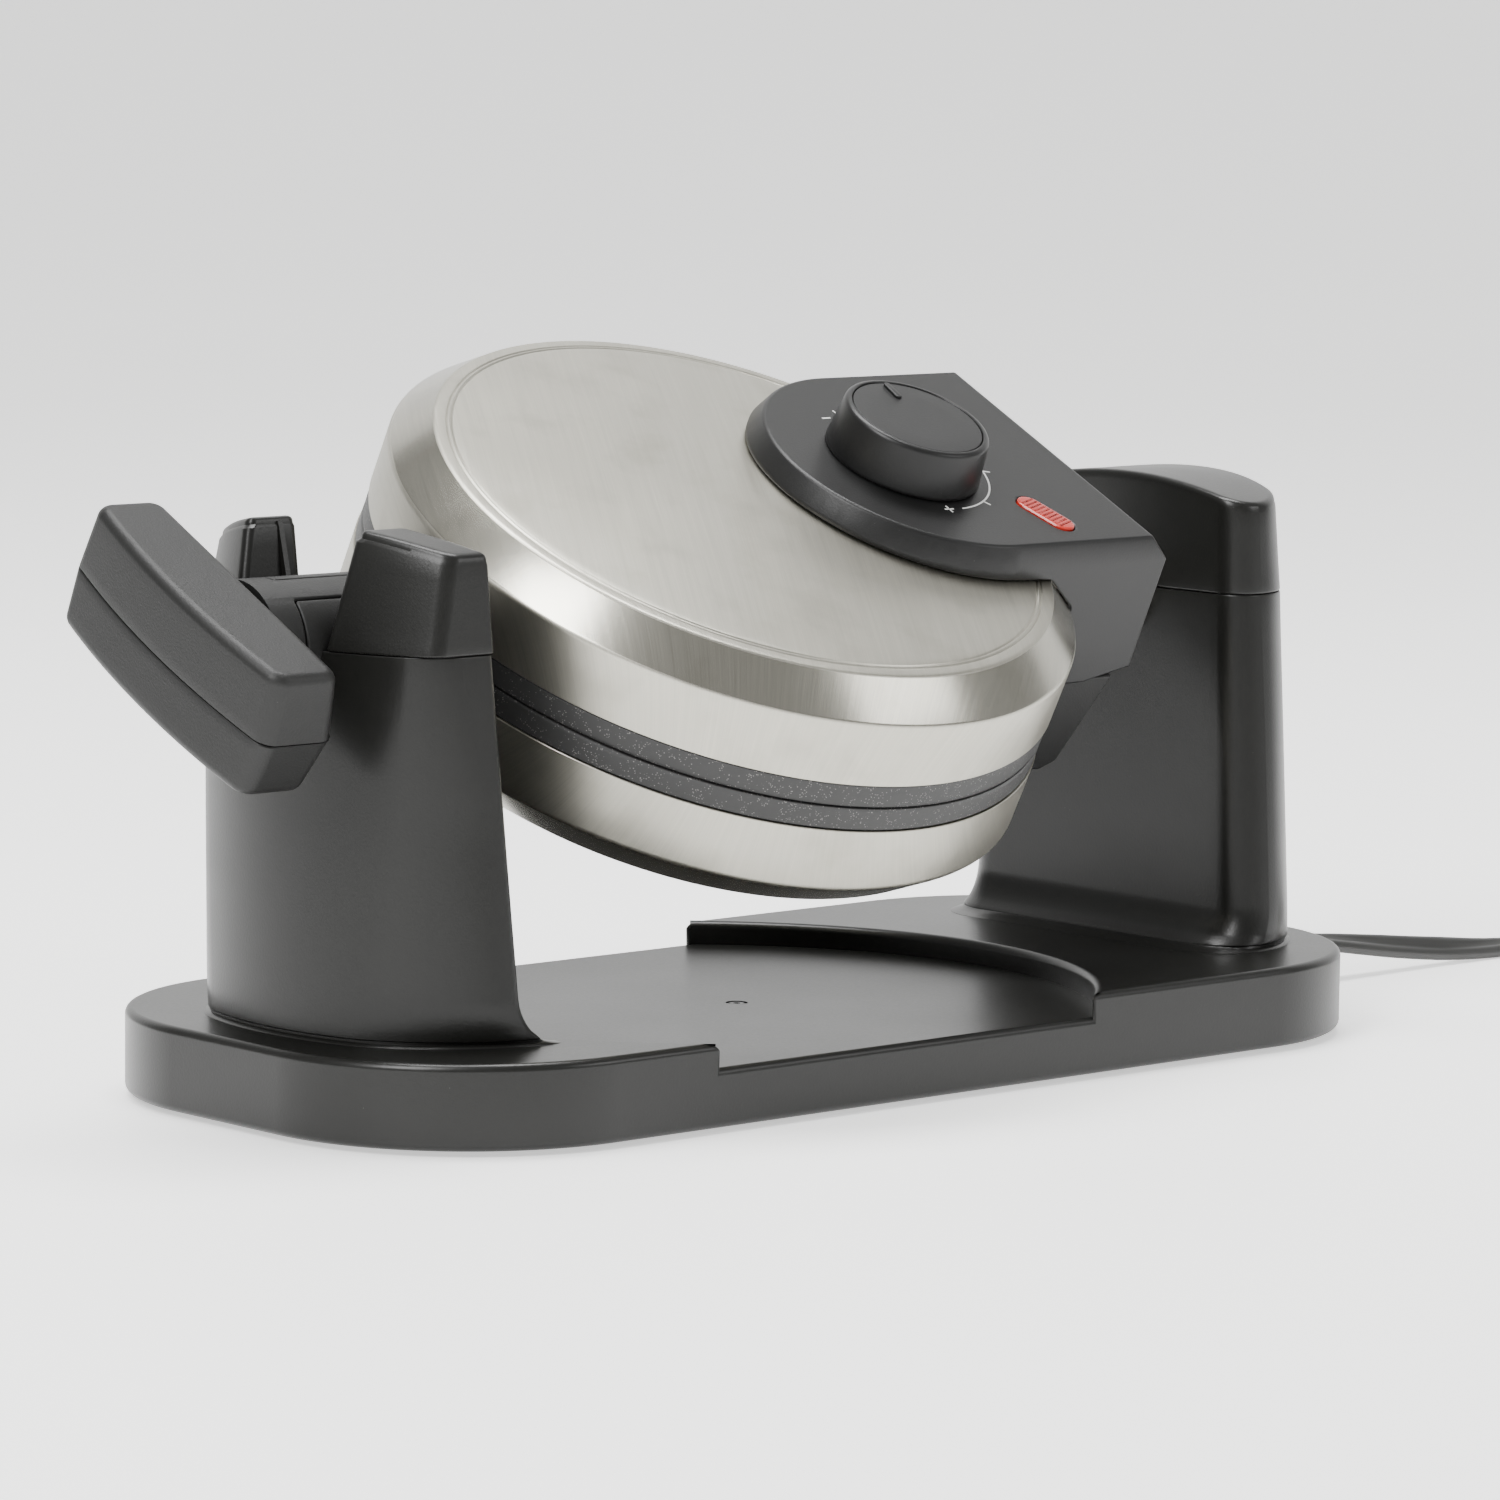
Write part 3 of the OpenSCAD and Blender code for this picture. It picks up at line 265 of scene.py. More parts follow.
def twin_flex(path):
    """Two round cores joined by a web, swept along a path that turns them on their edge for a stretch."""
    core = CORD_T / 2
    off = CORD_W / 2 - core
    lobe = np.radians(np.linspace(-LOBE_DEG, LOBE_DEG, 13))
    half = [(off + core * math.cos(a), core * math.sin(a)) for a in lobe] + [(0, WEB_SHARE * core)]
    section = half + [(-s, -u) for s, u in half]
    ahead = np.gradient(path, axis=0)
    ahead /= np.linalg.norm(ahead, axis=1)[:, None]
    level = np.cross(ahead, (0, 0, 1.0))
    level /= np.linalg.norm(level, axis=1)[:, None]
    above = np.cross(level, ahead)
    run = run_along(path)
    twist = np.radians(TWIST_DEG) * np.interp(run, TWIST_RUN, TWIST_SHARE)
    rings, uv = [], []
    for i, point in enumerate(path):
        c, s = math.cos(twist[i]), math.sin(twist[i])
        side, up = c * level[i] - s * above[i], s * level[i] + c * above[i]
        lift = np.array((0, 0, max(0.0, off * abs(s) + core + LIE_GAP - point[2])))
        rings.append([point + side * a + up * b + lift for a, b in section])
        uv += [(k / len(section), run[i] * 0.01) for k in range(len(section))]
    return *loft(rings), uv


cord_line = cord_route()
cord = dress(raw_mesh("mains_cord", *twin_flex(cord_line)), vinyl("cord_vinyl", (0.02, 0.02, 0.019)),
             "base", ("cord", "cord_coil", "cord_return"), 60)

# ----------------------------------------
# The sleeve that keeps the cord from kinking where it leaves the base: soft black
# rubber, tapered, with bending grooves, snapped into the end wall.
SLEEVE_X, SLEEVE_Z, SLEEVE_BORE = 191.0, 14.0, 4.1
SLEEVE_COLLAR = [(SLEEVE_BORE, -2.9), (6.6, -2.9), (6.6, 0.1), (7.8, 0.1), (7.8, 1.6), (7.4, 2.0), (6.3, 2.1)]
SLEEVE_TIP = [(5.2, 23.2), (4.9, 23.8), (4.3, 23.9), (SLEEVE_BORE, 23.5), (SLEEVE_BORE, -2.9)]
GROOVES, GROOVE_START, GROOVE_PITCH, GROOVE_R = 4, 6, 4.4, 4.75


def lathe(profile, n, place):
    """Profile of (radius, height) turned about Z and set down by place; a radius of 0 closes the end."""
    a = np.linspace(0, 2 * np.pi, n, endpoint=False)
    rings = [np.stack([r * np.cos(a), r * np.sin(a), np.full(n, z)], 1) for r, z in profile]
    return np.concatenate([place(ring) for ring in rings]), bands(len(rings), n)


def along_x(x0, y0, z0):
    """Places a lathe shape with its own axis along +X from the given point."""
    return lambda ring: np.stack([x0 + ring[:, 2], y0 + ring[:, 1], z0 - ring[:, 0]], 1)


def sleeve_profile():
    grooves = []
    for at in (GROOVE_START + GROOVE_PITCH * k for k in range(GROOVES)):
        wide = 6.2 - 0.05 * (at - 2)
        grooves += [(wide, at - 0.3), (wide - 0.3, at), (GROOVE_R, at + 0.2), (GROOVE_R, at + 1.4),
                    (wide - 0.35, at + 1.6), (wide - 0.1, at + 1.9)]
    return SLEEVE_COLLAR + grooves + SLEEVE_TIP


sleeve = dress(raw_mesh("cord_sleeve", *lathe(sleeve_profile(), 64, along_x(SLEEVE_X, 0, SLEEVE_Z))),
               vinyl("rubber_sleeve", (0.016, 0.016, 0.016)), "base", ("strain_relief",), 30)

# ----------------------------------------
# The plug: one moulding of black vinyl round two flat brass blades, its body
# waisted for the fingers.
PLUG_AT, PLUG_TURN, PLUG_SQUARE = (342.4, -70.2, 8.1), math.radians(-15), 3.2
# how far back from the blades, half the width and half the height there
PLUG_BODY = ((0, 5.2, 4.6), (0.6, 5.7, 5.2), (6, 6.6, 6.2), (12, 8.4, 7.3), (16, 11.2, 7.9), (20, 12.3, 8),
             (24, 11.9, 7.6), (28, 12.3, 7.9), (31, 12.4, 8), (31.7, 12.1, 7.7), (32, 11.5, 7.1))


def turned(points, turn, centre):
    """Points turned about Z and moved in plan to a centre."""
    (x, y, z), c, s = np.asarray(points, float).T, math.cos(turn), math.sin(turn)
    return np.stack([centre[0] + x * c - y * s, centre[1] + x * s + y * c, z], 1)


def plug_rings():
    rings = []
    for back, wide, high in PLUG_BODY:
        ring = []
        for a in np.linspace(0, 2 * np.pi, 48, endpoint=False):
            c, s = math.cos(a), math.sin(a)
            bulge = (abs(c) ** PLUG_SQUARE + abs(s) ** PLUG_SQUARE) ** (-1 / PLUG_SQUARE)
            ring.append((-back, wide * c * bulge, PLUG_AT[2] + high * s * bulge))
        rings.append(turned(ring, PLUG_TURN, PLUG_AT))
    return rings


def metal(name, colour, rough, grain_scale=900.0):
    """Bare or plated metal with fine machining grain and a slight mottling."""
    finish = Finish(name)
    cloud = finish.noise(45.0, 3.0)
    grain = finish.noise(grain_scale, 3.0)
    tint = finish.blend(cloud, scaled(colour, 0.86), colour)
    return finish.surface(color=tint, metal=1.0, rough=rough + 0.14 * grain,
                          normal=finish.bump(grain, 0.00002, 0.4))


def refinish(finish, *nodes):
    """CAD pieces whose shape is right keep it, and get a better finish."""
    for node in nodes:
        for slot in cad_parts[node].material_slots:
            slot.material = finish


plug = dress(raw_mesh("mains_plug", *loft(plug_rings())), vinyl("plug_vinyl", (0.018, 0.018, 0.018)), "base",
             ("plug",), 50)
brass = metal("turned_brass", (0.8, 0.62, 0.3), 0.26)
refinish(brass, "plug_pins")

# ----------------------------------------
# The stage: a pale table that runs up into a pale wall, under a white ceiling
# glow and three soft boxes.
TABLE_NEAR, TABLE_FAR, WALL_TOP, TABLE_HALF, BEND_R, BEND_STEPS = -7.0, 7.0, 7.0, 9.0, 3.0, 16
ROOM_COLOUR, ROOM_GLOW = (1, 1, 0.99, 1), 0.42
LIGHTS_AIM = Vector((0, 0, 0.1))
# name, place, width and height in metres, power in watts
LIGHTS = (("key", (-1.7, -0.5, 1.7), (0.8, 1.4), 62), ("fill", (1.2, -1.9, 1.2), (1.2, 0.8), 14),
          ("top", (0.1, 0.3, 2.0), (1.5, 0.7), 60))


def pale_table():
    finish = Finish("pale_table")
    tint = finish.blend(finish.noise(3.0, 3.0), (0.9, 0.9, 0.895), (0.93, 0.93, 0.925))
    return finish.surface(color=tint, rough=0.55, glow=0.85, glow_color=(1.0, 1.0, 0.995))


def set_stage():
    rows = [(TABLE_NEAR, 0.0), (TABLE_FAR - BEND_R, 0.0)]
    rows += [(TABLE_FAR - BEND_R + BEND_R * math.sin(a), BEND_R - BEND_R * math.cos(a))
             for a in (math.pi / 2 * k / BEND_STEPS for k in range(1, BEND_STEPS + 1))]
    rows.append((TABLE_FAR, WALL_TOP))
    c, s = math.cos(CAMERA_TURN), math.sin(CAMERA_TURN)
    verts = [(along * s + side * c, along * c - side * s, up)
             for along, up in rows for side in (-TABLE_HALF, TABLE_HALF)]
    faces = [(2 * i, 2 * i + 1, 2 * i + 3, 2 * i + 2) for i in range(len(rows) - 1)]
    mesh = bpy.data.meshes.new("table")
    mesh.from_pydata(verts, [], faces)
    mesh.polygons.foreach_set("use_smooth", [True] * len(faces))
    mesh.materials.append(pale_table())
    linked("table", mesh)


def set_lights():
    world = bpy.data.worlds.new("room")
    world.use_nodes = True
    room = world.node_tree.nodes["Background"].inputs
    room["Color"].default_value, room["Strength"].default_value = ROOM_COLOUR, ROOM_GLOW
    bpy.context.scene.world = world
    for name, at, size, power in LIGHTS:
        data = bpy.data.lights.new(name, "AREA")
        data.shape, data.size, data.size_y, data.energy = "RECTANGLE", size[0], size[1], power
        lamp = linked(name, data)
        lamp.location = at
        lamp.rotation_euler = (LIGHTS_AIM - Vector(at)).to_track_quat("-Z", "Y").to_euler()


set_stage()
set_lights()

# ----------------------------------------
# The base: satin charcoal injection mouldings. A long hollow plate with round ends
# has a shallow round recess that the turning drum dips into; the two hollow towers
# stand on it, each in its own groove, screwed on from below.
BASE_L, BASE_W, BASE_R, BASE_Z, DECK_Z, WALL, EDGE_R = 382.0, 176.0, 65.0, 1.5, 25.0, 3.0, 2.2
RECESS_X, RECESS_R, RECESS_Z = -20.0, 112.0, 18.0
AXIS_Z, SEAM = 129.8, 0.16
TOWER_TOP, CAP_FOOT = AXIS_Z - SEAM / 2, AXIS_Z + SEAM / 2
FORK_IN_R, TOWER_ARC, TOWER_HALF, TOWER_FOOT_HALF = 130.0, 100.0, 52.0, 61.0
FORK_OUT, FORK_OUT_FOOT, FORK_CORNER = 174.0, 176.0, 3.6
REAR_IN, REAR_IN_FOOT, REAR_OUT, REAR_OUT_FOOT = 143.0, 139.0, 180.0, 185.0
TOWER_WALL, HOLLOW_CORNER = 4.0, 3.0
FORK_HOLLOW_HALF, FORK_HOLLOW_Z, REAR_HOLLOW_HALF, REAR_HOLLOW_Z = 34.0, (28, 104), 36.0, (28, 140)
JOURNAL_BORE, SHAFT_BORE, CORD_BORE = 18.6, 13.0, 6.7
FILLET, FILLET_LIFT, CUT_BEYOND = 13.0, 0.05, 6.5
# height and flare of the line round each tower's foot
RIM_LINE = ((24.0, 1.3), (25.05, 1.2), (25.5, 0.7), (25.9, -0.45), (26.5, -0.5), (26.9, 0.0), (27.6, 0.0))
# the gate mark that the mould leaves in the recess
GATE_AT = (RECESS_X + 8, -6)
GATE_MARK = [(0, 17.2), (1.1, 17.2), (1.1, 17.85), (2.2, 17.85), (2.2, 17.6), (3.2, 17.6), (3.2, 19), (0, 19)]


def moulding(name, colour, rough, grain, grain_depth, cloud_share=0.35):
    """Moulded plastic: spark-eroded grain, a soft gloss, faint rubbed patches and specks of dust."""
    finish = Finish(name)
    cloud = finish.noise(22.0, 4.0)
    smear = finish.noise(9.0, 2.0, (1.0, 1.0, 3.0))
    pores = finish.noise(grain, 2.0)
    dust = finish.ramp(finish.cells(260.0), (0.0, 1.0), (0.035, 0.0)) * (cloud > 0.56)
    tint = finish.blend(cloud_share * cloud, colour, scaled(colour, 1.6))
    tint = finish.blend(0.35 * dust, tint, (0.3, 0.29, 0.27))
    rough = rough - 0.06 + 0.12 * smear + 0.06 * pores + 0.2 * dust
    return finish.surface(color=tint, rough=rough, gloss=0.36, normal=finish.bump(pores, grain_depth, 0.6))


def round_ended(length, width, radius, z, n=44):
    """A rectangle whose corners are true arcs."""
    ring = []
    for cx, cy, start in ((1, 1, 0), (-1, 1, 90), (-1, -1, 180), (1, -1, 270)):
        for a in np.radians(np.linspace(start, start + 90, n)):
            ring.append((cx * (length / 2 - radius) + radius * math.cos(a),
                         cy * (width / 2 - radius) + radius * math.sin(a), z))
    return ring


def bake_modifiers(piece):
    """Turns what a piece's modifiers make into its plain mesh."""
    bpy.context.view_layer.update()
    mesh = bpy.data.meshes.new_from_object(piece.evaluated_get(bpy.context.evaluated_depsgraph_get()))
    piece.modifiers.clear()
    piece.data = mesh


def carve(piece, tool, how="DIFFERENCE"):
    """Cuts a tool out of a piece, or joins the two, and throws the tool away."""
    cut = piece.modifiers.new("carve", "BOOLEAN")
    cut.operation, cut.solver, cut.object = how, "MANIFOLD", tool
    bake_modifiers(piece)
    bpy.data.objects.remove(tool)


def soften(piece, width, segments, angle=40.0):
    """Rounds the outward creases of a piece."""
    bm = bmesh.new()
    bm.from_mesh(piece.data)
    bmesh.ops.dissolve_limit(bm, angle_limit=math.radians(0.2), verts=bm.verts, edges=bm.edges)
    edges = [e for e in bm.edges
             if len(e.link_faces) == 2 and e.is_convex and e.calc_face_angle(0) > math.radians(angle)]
    bmesh.ops.bevel(bm, geom=edges, offset=width / 1000, offset_type="OFFSET", segments=segments, profile=0.5,
                    affect="EDGES", clamp_overlap=False)
    bm.to_mesh(piece.data)
    bm.free()


def flatten_shading(piece):
    """Keeps large flat faces flat beside their rounded edges."""
    weigh = piece.modifiers.new("weigh", "WEIGHTED_NORMAL")
    weigh.keep_sharp, weigh.weight = True, 60


def cutter(verts, faces):
    return raw_mesh("cutter", verts, faces)


def cylinder(radius, z0, z1):
    return [(0, z0), (radius, z0), (radius, z1), (0, z1)]


def moved(x, y):
    """Sets a lathe shape down upright at a point."""
    return lambda ring: ring + (x, y, 0)


def rod(x0, x1, radius, z):
    return cutter(*lathe(cylinder(radius, 0, x1 - x0), 96, along_x(x0, 0, z)))


def merged(shapes):
    """Several shapes, each a pair of points and faces, as one."""
    verts, faces = [], []
    for points, sides in shapes:
        faces += [tuple(i + len(verts) for i in side) for side in sides]
        verts += list(points)
    return verts, faces


def mix(low, high, t):
    return low + (high - low) * t


def bowed_plan(inner, outer, half, r_in, r_out, low=None, n=10):
    """Plan of a tower or grip: inner(y) and outer(y) give its faces, half its width, r its corners."""
    low = -half if low is None else low

    def corner(p, start, end):
        """A near quarter circle as one cubic curve."""
        p, start, end = (np.array(v, float) for v in (p, start, end))
        k = 0.5523
        a, b = start + k * (p - start), end + k * (p - end)
        t = np.linspace(0, 1, n)[:, None]
        s = 1 - t
        return s ** 3 * start + 3 * s ** 2 * t * a + 3 * s * t * t * b + t ** 3 * end

    def face(f, y0, y1):
        y = np.linspace(y0, y1, 24)[1:-1]
        return np.stack([[f(v) for v in y], y], 1)

    def share(gap):
        """How much of a narrow end its two corners may take."""
        out = min(r_out, max(gap - r_in - 0.5, 0.55 * gap))
        return out, min(r_in, gap - out - 0.5)

    a, b, c, d = ((inner(half), half), (outer(half), half), (outer(low), low), (inner(low), low))
    (high_out, high_in), (low_out, low_in) = share(b[0] - a[0]), share(c[0] - d[0])
    return np.concatenate([
        corner(b, (b[0] - high_out, half), (outer(half - r_out), half - r_out)),
        face(outer, half - r_out, low + r_out),
        corner(c, (outer(low + r_out), low + r_out), (c[0] - low_out, low)),
        corner(d, (d[0] + low_in, low), (inner(low + r_in), low + r_in)),
        face(inner, low + r_in, half - r_in),
        corner(a, (inner(half - r_in), half - r_in), (a[0] + high_in, half))])


def shrink(plan, by):
    """Moves a plan's points inwards by a distance."""
    ahead = np.roll(plan, -1, 0) - np.roll(plan, 1, 0)
    ahead /= np.linalg.norm(ahead, axis=1)[:, None] + 1e-12
    outward = np.stack([ahead[:, 1], -ahead[:, 0]], 1)
    middle = plan.mean(0)
    if ((plan - middle) * outward).sum() < 0:
        outward = -outward
    return plan - outward * by


def raised(plan, z):
    return np.column_stack([plan, np.full(len(plan), z) if np.isscalar(z) else z])


def mirrored(points):
    return points * (-1, 1, 1)


def arc_face(centre, radius):
    return lambda y: centre + math.sqrt(radius ** 2 - y * y)


def tower_out(out):
    """A tower's outer face, bowed across the base, that reaches out this far in the middle."""
    return arc_face(out - TOWER_ARC, TOWER_ARC)


def fork_plan(t, fillet=0.0, inset=0.0):
    """Plan of the front tower; t runs from 0 at its foot to 1 at the seam."""
    plan = bowed_plan(arc_face(-RECESS_X - fillet, FORK_IN_R), tower_out(mix(FORK_OUT_FOOT, FORK_OUT, t)),
                      mix(TOWER_FOOT_HALF, TOWER_HALF, t), FORK_CORNER, 9 + 19 * (1 - t) ** 1.2)
    return shrink(plan, inset)


def rear_plan(t, fillet=0.0, inset=0.0):
    """Plan of the rear tower, in the same terms."""
    plan = bowed_plan(lambda y: mix(REAR_IN_FOOT, REAR_IN, t) - fillet,
                      tower_out(mix(REAR_OUT_FOOT, REAR_OUT, t)),
                      mix(TOWER_FOOT_HALF, TOWER_HALF, t), 9.0 + 0.5 * fillet + 3 * (1 - t), 12 + 8 * (1 - t))
    return shrink(plan, inset)


def tower_rings(plan):
    """Rings from below the deck to the seam: foot line outside, hollow fillet towards the drum."""
    fillet_top = DECK_Z + FILLET

    def fillet_at(z):
        drop = min(FILLET, fillet_top - max(z, DECK_Z + FILLET_LIFT))
        return FILLET - math.sqrt(max(0, FILLET ** 2 - drop ** 2))

    def share(z):
        return (z - DECK_Z) / (AXIS_Z - DECK_Z)

    rings = [raised(plan(0, fillet_at(z), -flare), z) for z, flare in RIM_LINE]
    rings += [raised(plan(share(z), fillet_at(z)), z) for z in np.linspace(29, fillet_top, 10)]
    rings += [raised(plan(share(z)), z) for z in np.linspace(fillet_top + 6, TOWER_TOP - 0.5, 14)]
    rings += [raised(plan(1, 0, 0.12), TOWER_TOP - 0.15), raised(plan(1, 0, 0.4), TOWER_TOP)]
    return rings


def fork_hollow():
    plan = bowed_plan(arc_face(-RECESS_X, FORK_IN_R + TOWER_WALL), tower_out(FORK_OUT - TOWER_WALL),
                      FORK_HOLLOW_HALF, HOLLOW_CORNER, HOLLOW_CORNER)
    return cutter(*loft([mirrored(raised(plan, z)) for z in FORK_HOLLOW_Z]))


def rear_hollow():
    plan = bowed_plan(lambda y: REAR_IN + TOWER_WALL, tower_out(REAR_OUT - TOWER_WALL),
                      REAR_HOLLOW_HALF, HOLLOW_CORNER, HOLLOW_CORNER)
    return cutter(*loft([raised(plan, z) for z in REAR_HOLLOW_Z]))


def under_hollow():
    return cutter(*loft([round_ended(BASE_L - 2 * WALL, BASE_W - 2 * WALL, BASE_R - WALL, z)
                         for z in (BASE_Z - CUT_BEYOND, RECESS_Z - WALL)]))


charcoal = moulding("charcoal_moulding", (0.0062, 0.0062, 0.0055), 0.29, 1300.0, 0.00005)
base = raw_mesh("base_moulding", *loft([round_ended(BASE_L, BASE_W, BASE_R, z) for z in (BASE_Z, DECK_Z)]))
carve(base, cutter(*lathe(cylinder(RECESS_R, RECESS_Z, DECK_Z + 20), 192, moved(RECESS_X, 0))))
soften(base, EDGE_R, 5)
carve(base, cutter(*lathe(GATE_MARK, 32, moved(*GATE_AT))))
carve(base, raw_mesh("fork_foot", *loft([mirrored(r) for r in tower_rings(fork_plan)])), "UNION")
carve(base, raw_mesh("rear_foot", *loft(tower_rings(rear_plan))), "UNION")
for tool in (under_hollow(), fork_hollow(), rear_hollow(), rod(-200, -130, JOURNAL_BORE, AXIS_Z),
             rod(130, 160, SHAFT_BORE, AXIS_Z), rod(180, 200, CORD_BORE, SLEEVE_Z)):
    carve(base, tool)
dress(base, charcoal, "base", ("base_shell", "fork_tower", "rear_tower"), 38)
flatten_shading(base)

# ----------------------------------------
# Under the base: a flat cover held by six plated screws, four rubber feet pushed
# through it, and the terminal block that the cord ends in.
FOOT_X, FOOT_Y = BASE_L / 2 - 51, BASE_W / 2 - 30
FOOT = [(0, 0.35), (4.2, 0.3), (4.8, 0), (6.6, 0), (7.1, 0.25), (7.8, 1.2), (7.8, 1.48), (0, 1.48)]
zinc = metal("zinc_plate", (0.62, 0.61, 0.58), 0.3)
black = moulding("black_moulding", (0.006, 0.006, 0.0057), 0.45, 1700.0, 0.00009, 0.25)
rubber = moulding("foot_rubber", (0.014, 0.014, 0.014), 0.72, 700.0, 0.0001)
acetal = moulding("acetal", (0.78, 0.76, 0.7), 0.42, 900.0, 0.00003, 0.1)
feet = raw_mesh("rubber_feet", *merged([lathe(FOOT, 48, moved(x, y))
                                        for x in (-FOOT_X, FOOT_X) for y in (-FOOT_Y, FOOT_Y)]))
dress(feet, rubber, "base", ("feet",), 40)
refinish(black, "base_cover")
refinish(zinc, "base_screws", "tower_screws")
refinish(acetal, "terminal_block")

# ----------------------------------------
# The fork's cap: one moulding with two prongs, screwed down on the front tower.
# The journal drops between the prongs, whose tops share the towers' crown.
CROWN_R, TOP_Z = 178.0, 163.8
SLOT_HALF, SLOT_TOP, LEAN, SIDE_LEAN, LEAN_IN = 18.6, 23.5, 6.5, 1.5, 0.8
PRONG_IN_CORNER, PRONG_OUT_CORNER = 2.4, 3.0
# drop and inset of the rounded top edge
EDGE_RINGS = ((2.0, 0.0), (1.15, 0.12), (0.5, 0.5), (0.12, 1.15), (0.0, 2.0))
# a guide rib on each prong's slot face, beside the drum: its edge as (y, z) from foot to top
RIB_X, RIB_T, RIB_BACK = -154.5, 1.6, 27.0
RIB_EDGE = ((19.3, 130.2), (18.5, 134.8), (17.75, 139), (17.75, 141), (22.4, 159.6), (22.9, 160.8))


def crown(y):
    return TOP_Z - CROWN_R + np.sqrt(CROWN_R ** 2 - np.asarray(y) ** 2)


def crowned(plan_at, foot):
    """Rings from a seam up to the crown, with a rounded top edge and a domed top."""
    rings = [raised(shrink(plan_at(0), 0.4), foot), raised(shrink(plan_at(0), 0.12), foot + 0.25),
             raised(plan_at(0.01), foot + 0.6)]
    for t in np.linspace(0.1, 0.85, 6):
        plan = plan_at(t)
        rings.append(raised(plan, foot + (crown(plan[:, 1]) - 3 - foot) * t / 0.85))
    for drop, inset in EDGE_RINGS:
        plan = shrink(plan_at(1), inset)
        rings.append(raised(plan, crown(plan[:, 1]) - drop))
    last = shrink(plan_at(1), EDGE_RINGS[-1][1])
    middle = np.array((last[:, 0].mean(), (last[:, 1].max() + last[:, 1].min()) / 2))
    for share in (0.8, 0.55, 0.3, 0.05):
        plan = middle + (last - middle) * share
        rings.append(raised(plan, crown(plan[:, 1])))
    return rings


def prong_plan(t):
    return bowed_plan(arc_face(-RECESS_X + LEAN_IN * t, FORK_IN_R), tower_out(FORK_OUT - LEAN * t),
                      TOWER_HALF - SIDE_LEAN * t, PRONG_IN_CORNER, PRONG_OUT_CORNER,
                      mix(SLOT_HALF, SLOT_TOP, t))


def guide_rib(side):
    near, far, back = RIB_X - RIB_T / 2, RIB_X + RIB_T / 2, side * RIB_BACK
    return loft([[(near, side * y, z), (far, side * y, z), (far, back, z), (near, back, z)]
                 for y, z in RIB_EDGE])


verts, faces = loft([mirrored(ring) for ring in crowned(prong_plan, CAP_FOOT)])
other_prong = [v * (1, -1, 1) for v in verts], [face[::-1] for face in faces]
fork_cap = raw_mesh("fork_cap_moulding", *merged([(verts, faces), other_prong, guide_rib(-1), guide_rib(1)]))
dress(fork_cap, charcoal, "base", ("fork_cap",), 32)
flatten_shading(fork_cap)

# ----------------------------------------
# The rear tower's cap: a shell that closes the bearing from above, held from
# below by two screws. It shares the crown of the fork's prongs.
REAR_TOP_HALF, REAR_TOP_IN, REAR_TOP_OUT, REAR_IN_CORNER, REAR_OUT_CORNER = 50.5, 143.6, 177.5, 9.0, 12.0
# height and share of the cap's height for each ring of its hollow
REAR_CAP_HOLLOW = ((120, 0), (146, 0.6), (151, 0.9))


def rear_cap_plan(t):
    return bowed_plan(lambda y: mix(REAR_IN, REAR_TOP_IN, t), tower_out(mix(REAR_OUT, REAR_TOP_OUT, t)),
                      mix(TOWER_HALF, REAR_TOP_HALF, t), REAR_IN_CORNER, REAR_OUT_CORNER)


rear_cap = raw_mesh("rear_cap_shell", *loft(crowned(rear_cap_plan, CAP_FOOT)))
carve(rear_cap, cutter(*loft([raised(shrink(rear_cap_plan(t), WALL), z) for z, t in REAR_CAP_HOLLOW])))
carve(rear_cap, rod(130, 160, SHAFT_BORE, AXIS_Z))
dress(rear_cap, charcoal, "base", ("rear_cap",), 32)
flatten_shading(rear_cap)
refinish(zinc, "cap_screws", "detent_spring")
refinish(acetal, "bearing_bush")
refinish(black, "detent_guide")
refinish(brass, "detent_plunger")

# ----------------------------------------
# The drum's steel covers: two deep-drawn pressings of brushed stainless sheet,
# 1 mm thick and slightly domed, with a double bead and a polished bevel. The
# sheet was brushed flat before it was drawn, so the lines run on down the wall.
DRUM_X, TILT, BRUSH_TURN = -20.0, math.radians(27), math.radians(-62)
DRUM_R, RIM_Z, BEVEL_R, FACE_Z, DOME, STEEL_T, SHELL_Z = 102.0, 26.5, 91.5, 36.5, 3.0, 1.0, 7.35
HUB_X, HUB_HOLE, POST_X, POST_Y, POST_HOLE, HOLE_Z = 55.0, 15, 72.0, 30.0, 1.7, (30, 50)
# the corners of the notch that the control housing closes
NOTCH = (82, -30, 12), (107, 30, 46.5)
drum_place = Matrix.Translation((DRUM_X / 1000, 0, AXIS_Z / 1000)) @ Matrix.Rotation(TILT, 4, "X")


def on_drum(points):
    """From the drum's own frame, with Z through the plates, to the frame of the whole."""
    p, c, s = np.asarray(points, float), math.cos(TILT), math.sin(TILT)
    return np.stack([p[:, 0] + DRUM_X, p[:, 1] * c - p[:, 2] * s, p[:, 1] * s + p[:, 2] * c + AXIS_Z], 1)


def drum_local(finish):
    """Object coordinates turned into the drum's frame, in metres."""
    shifted = finish.add("ShaderNodeVectorMath", {"operation": "SUBTRACT"},
                         {0: finish.place, 1: (DRUM_X / 1000, 0, AXIS_Z / 1000)})["Vector"]
    return finish.add("ShaderNodeVectorRotate", {"rotation_type": "X_AXIS"},
                      {"Vector": shifted, "Angle": -TILT})["Vector"]


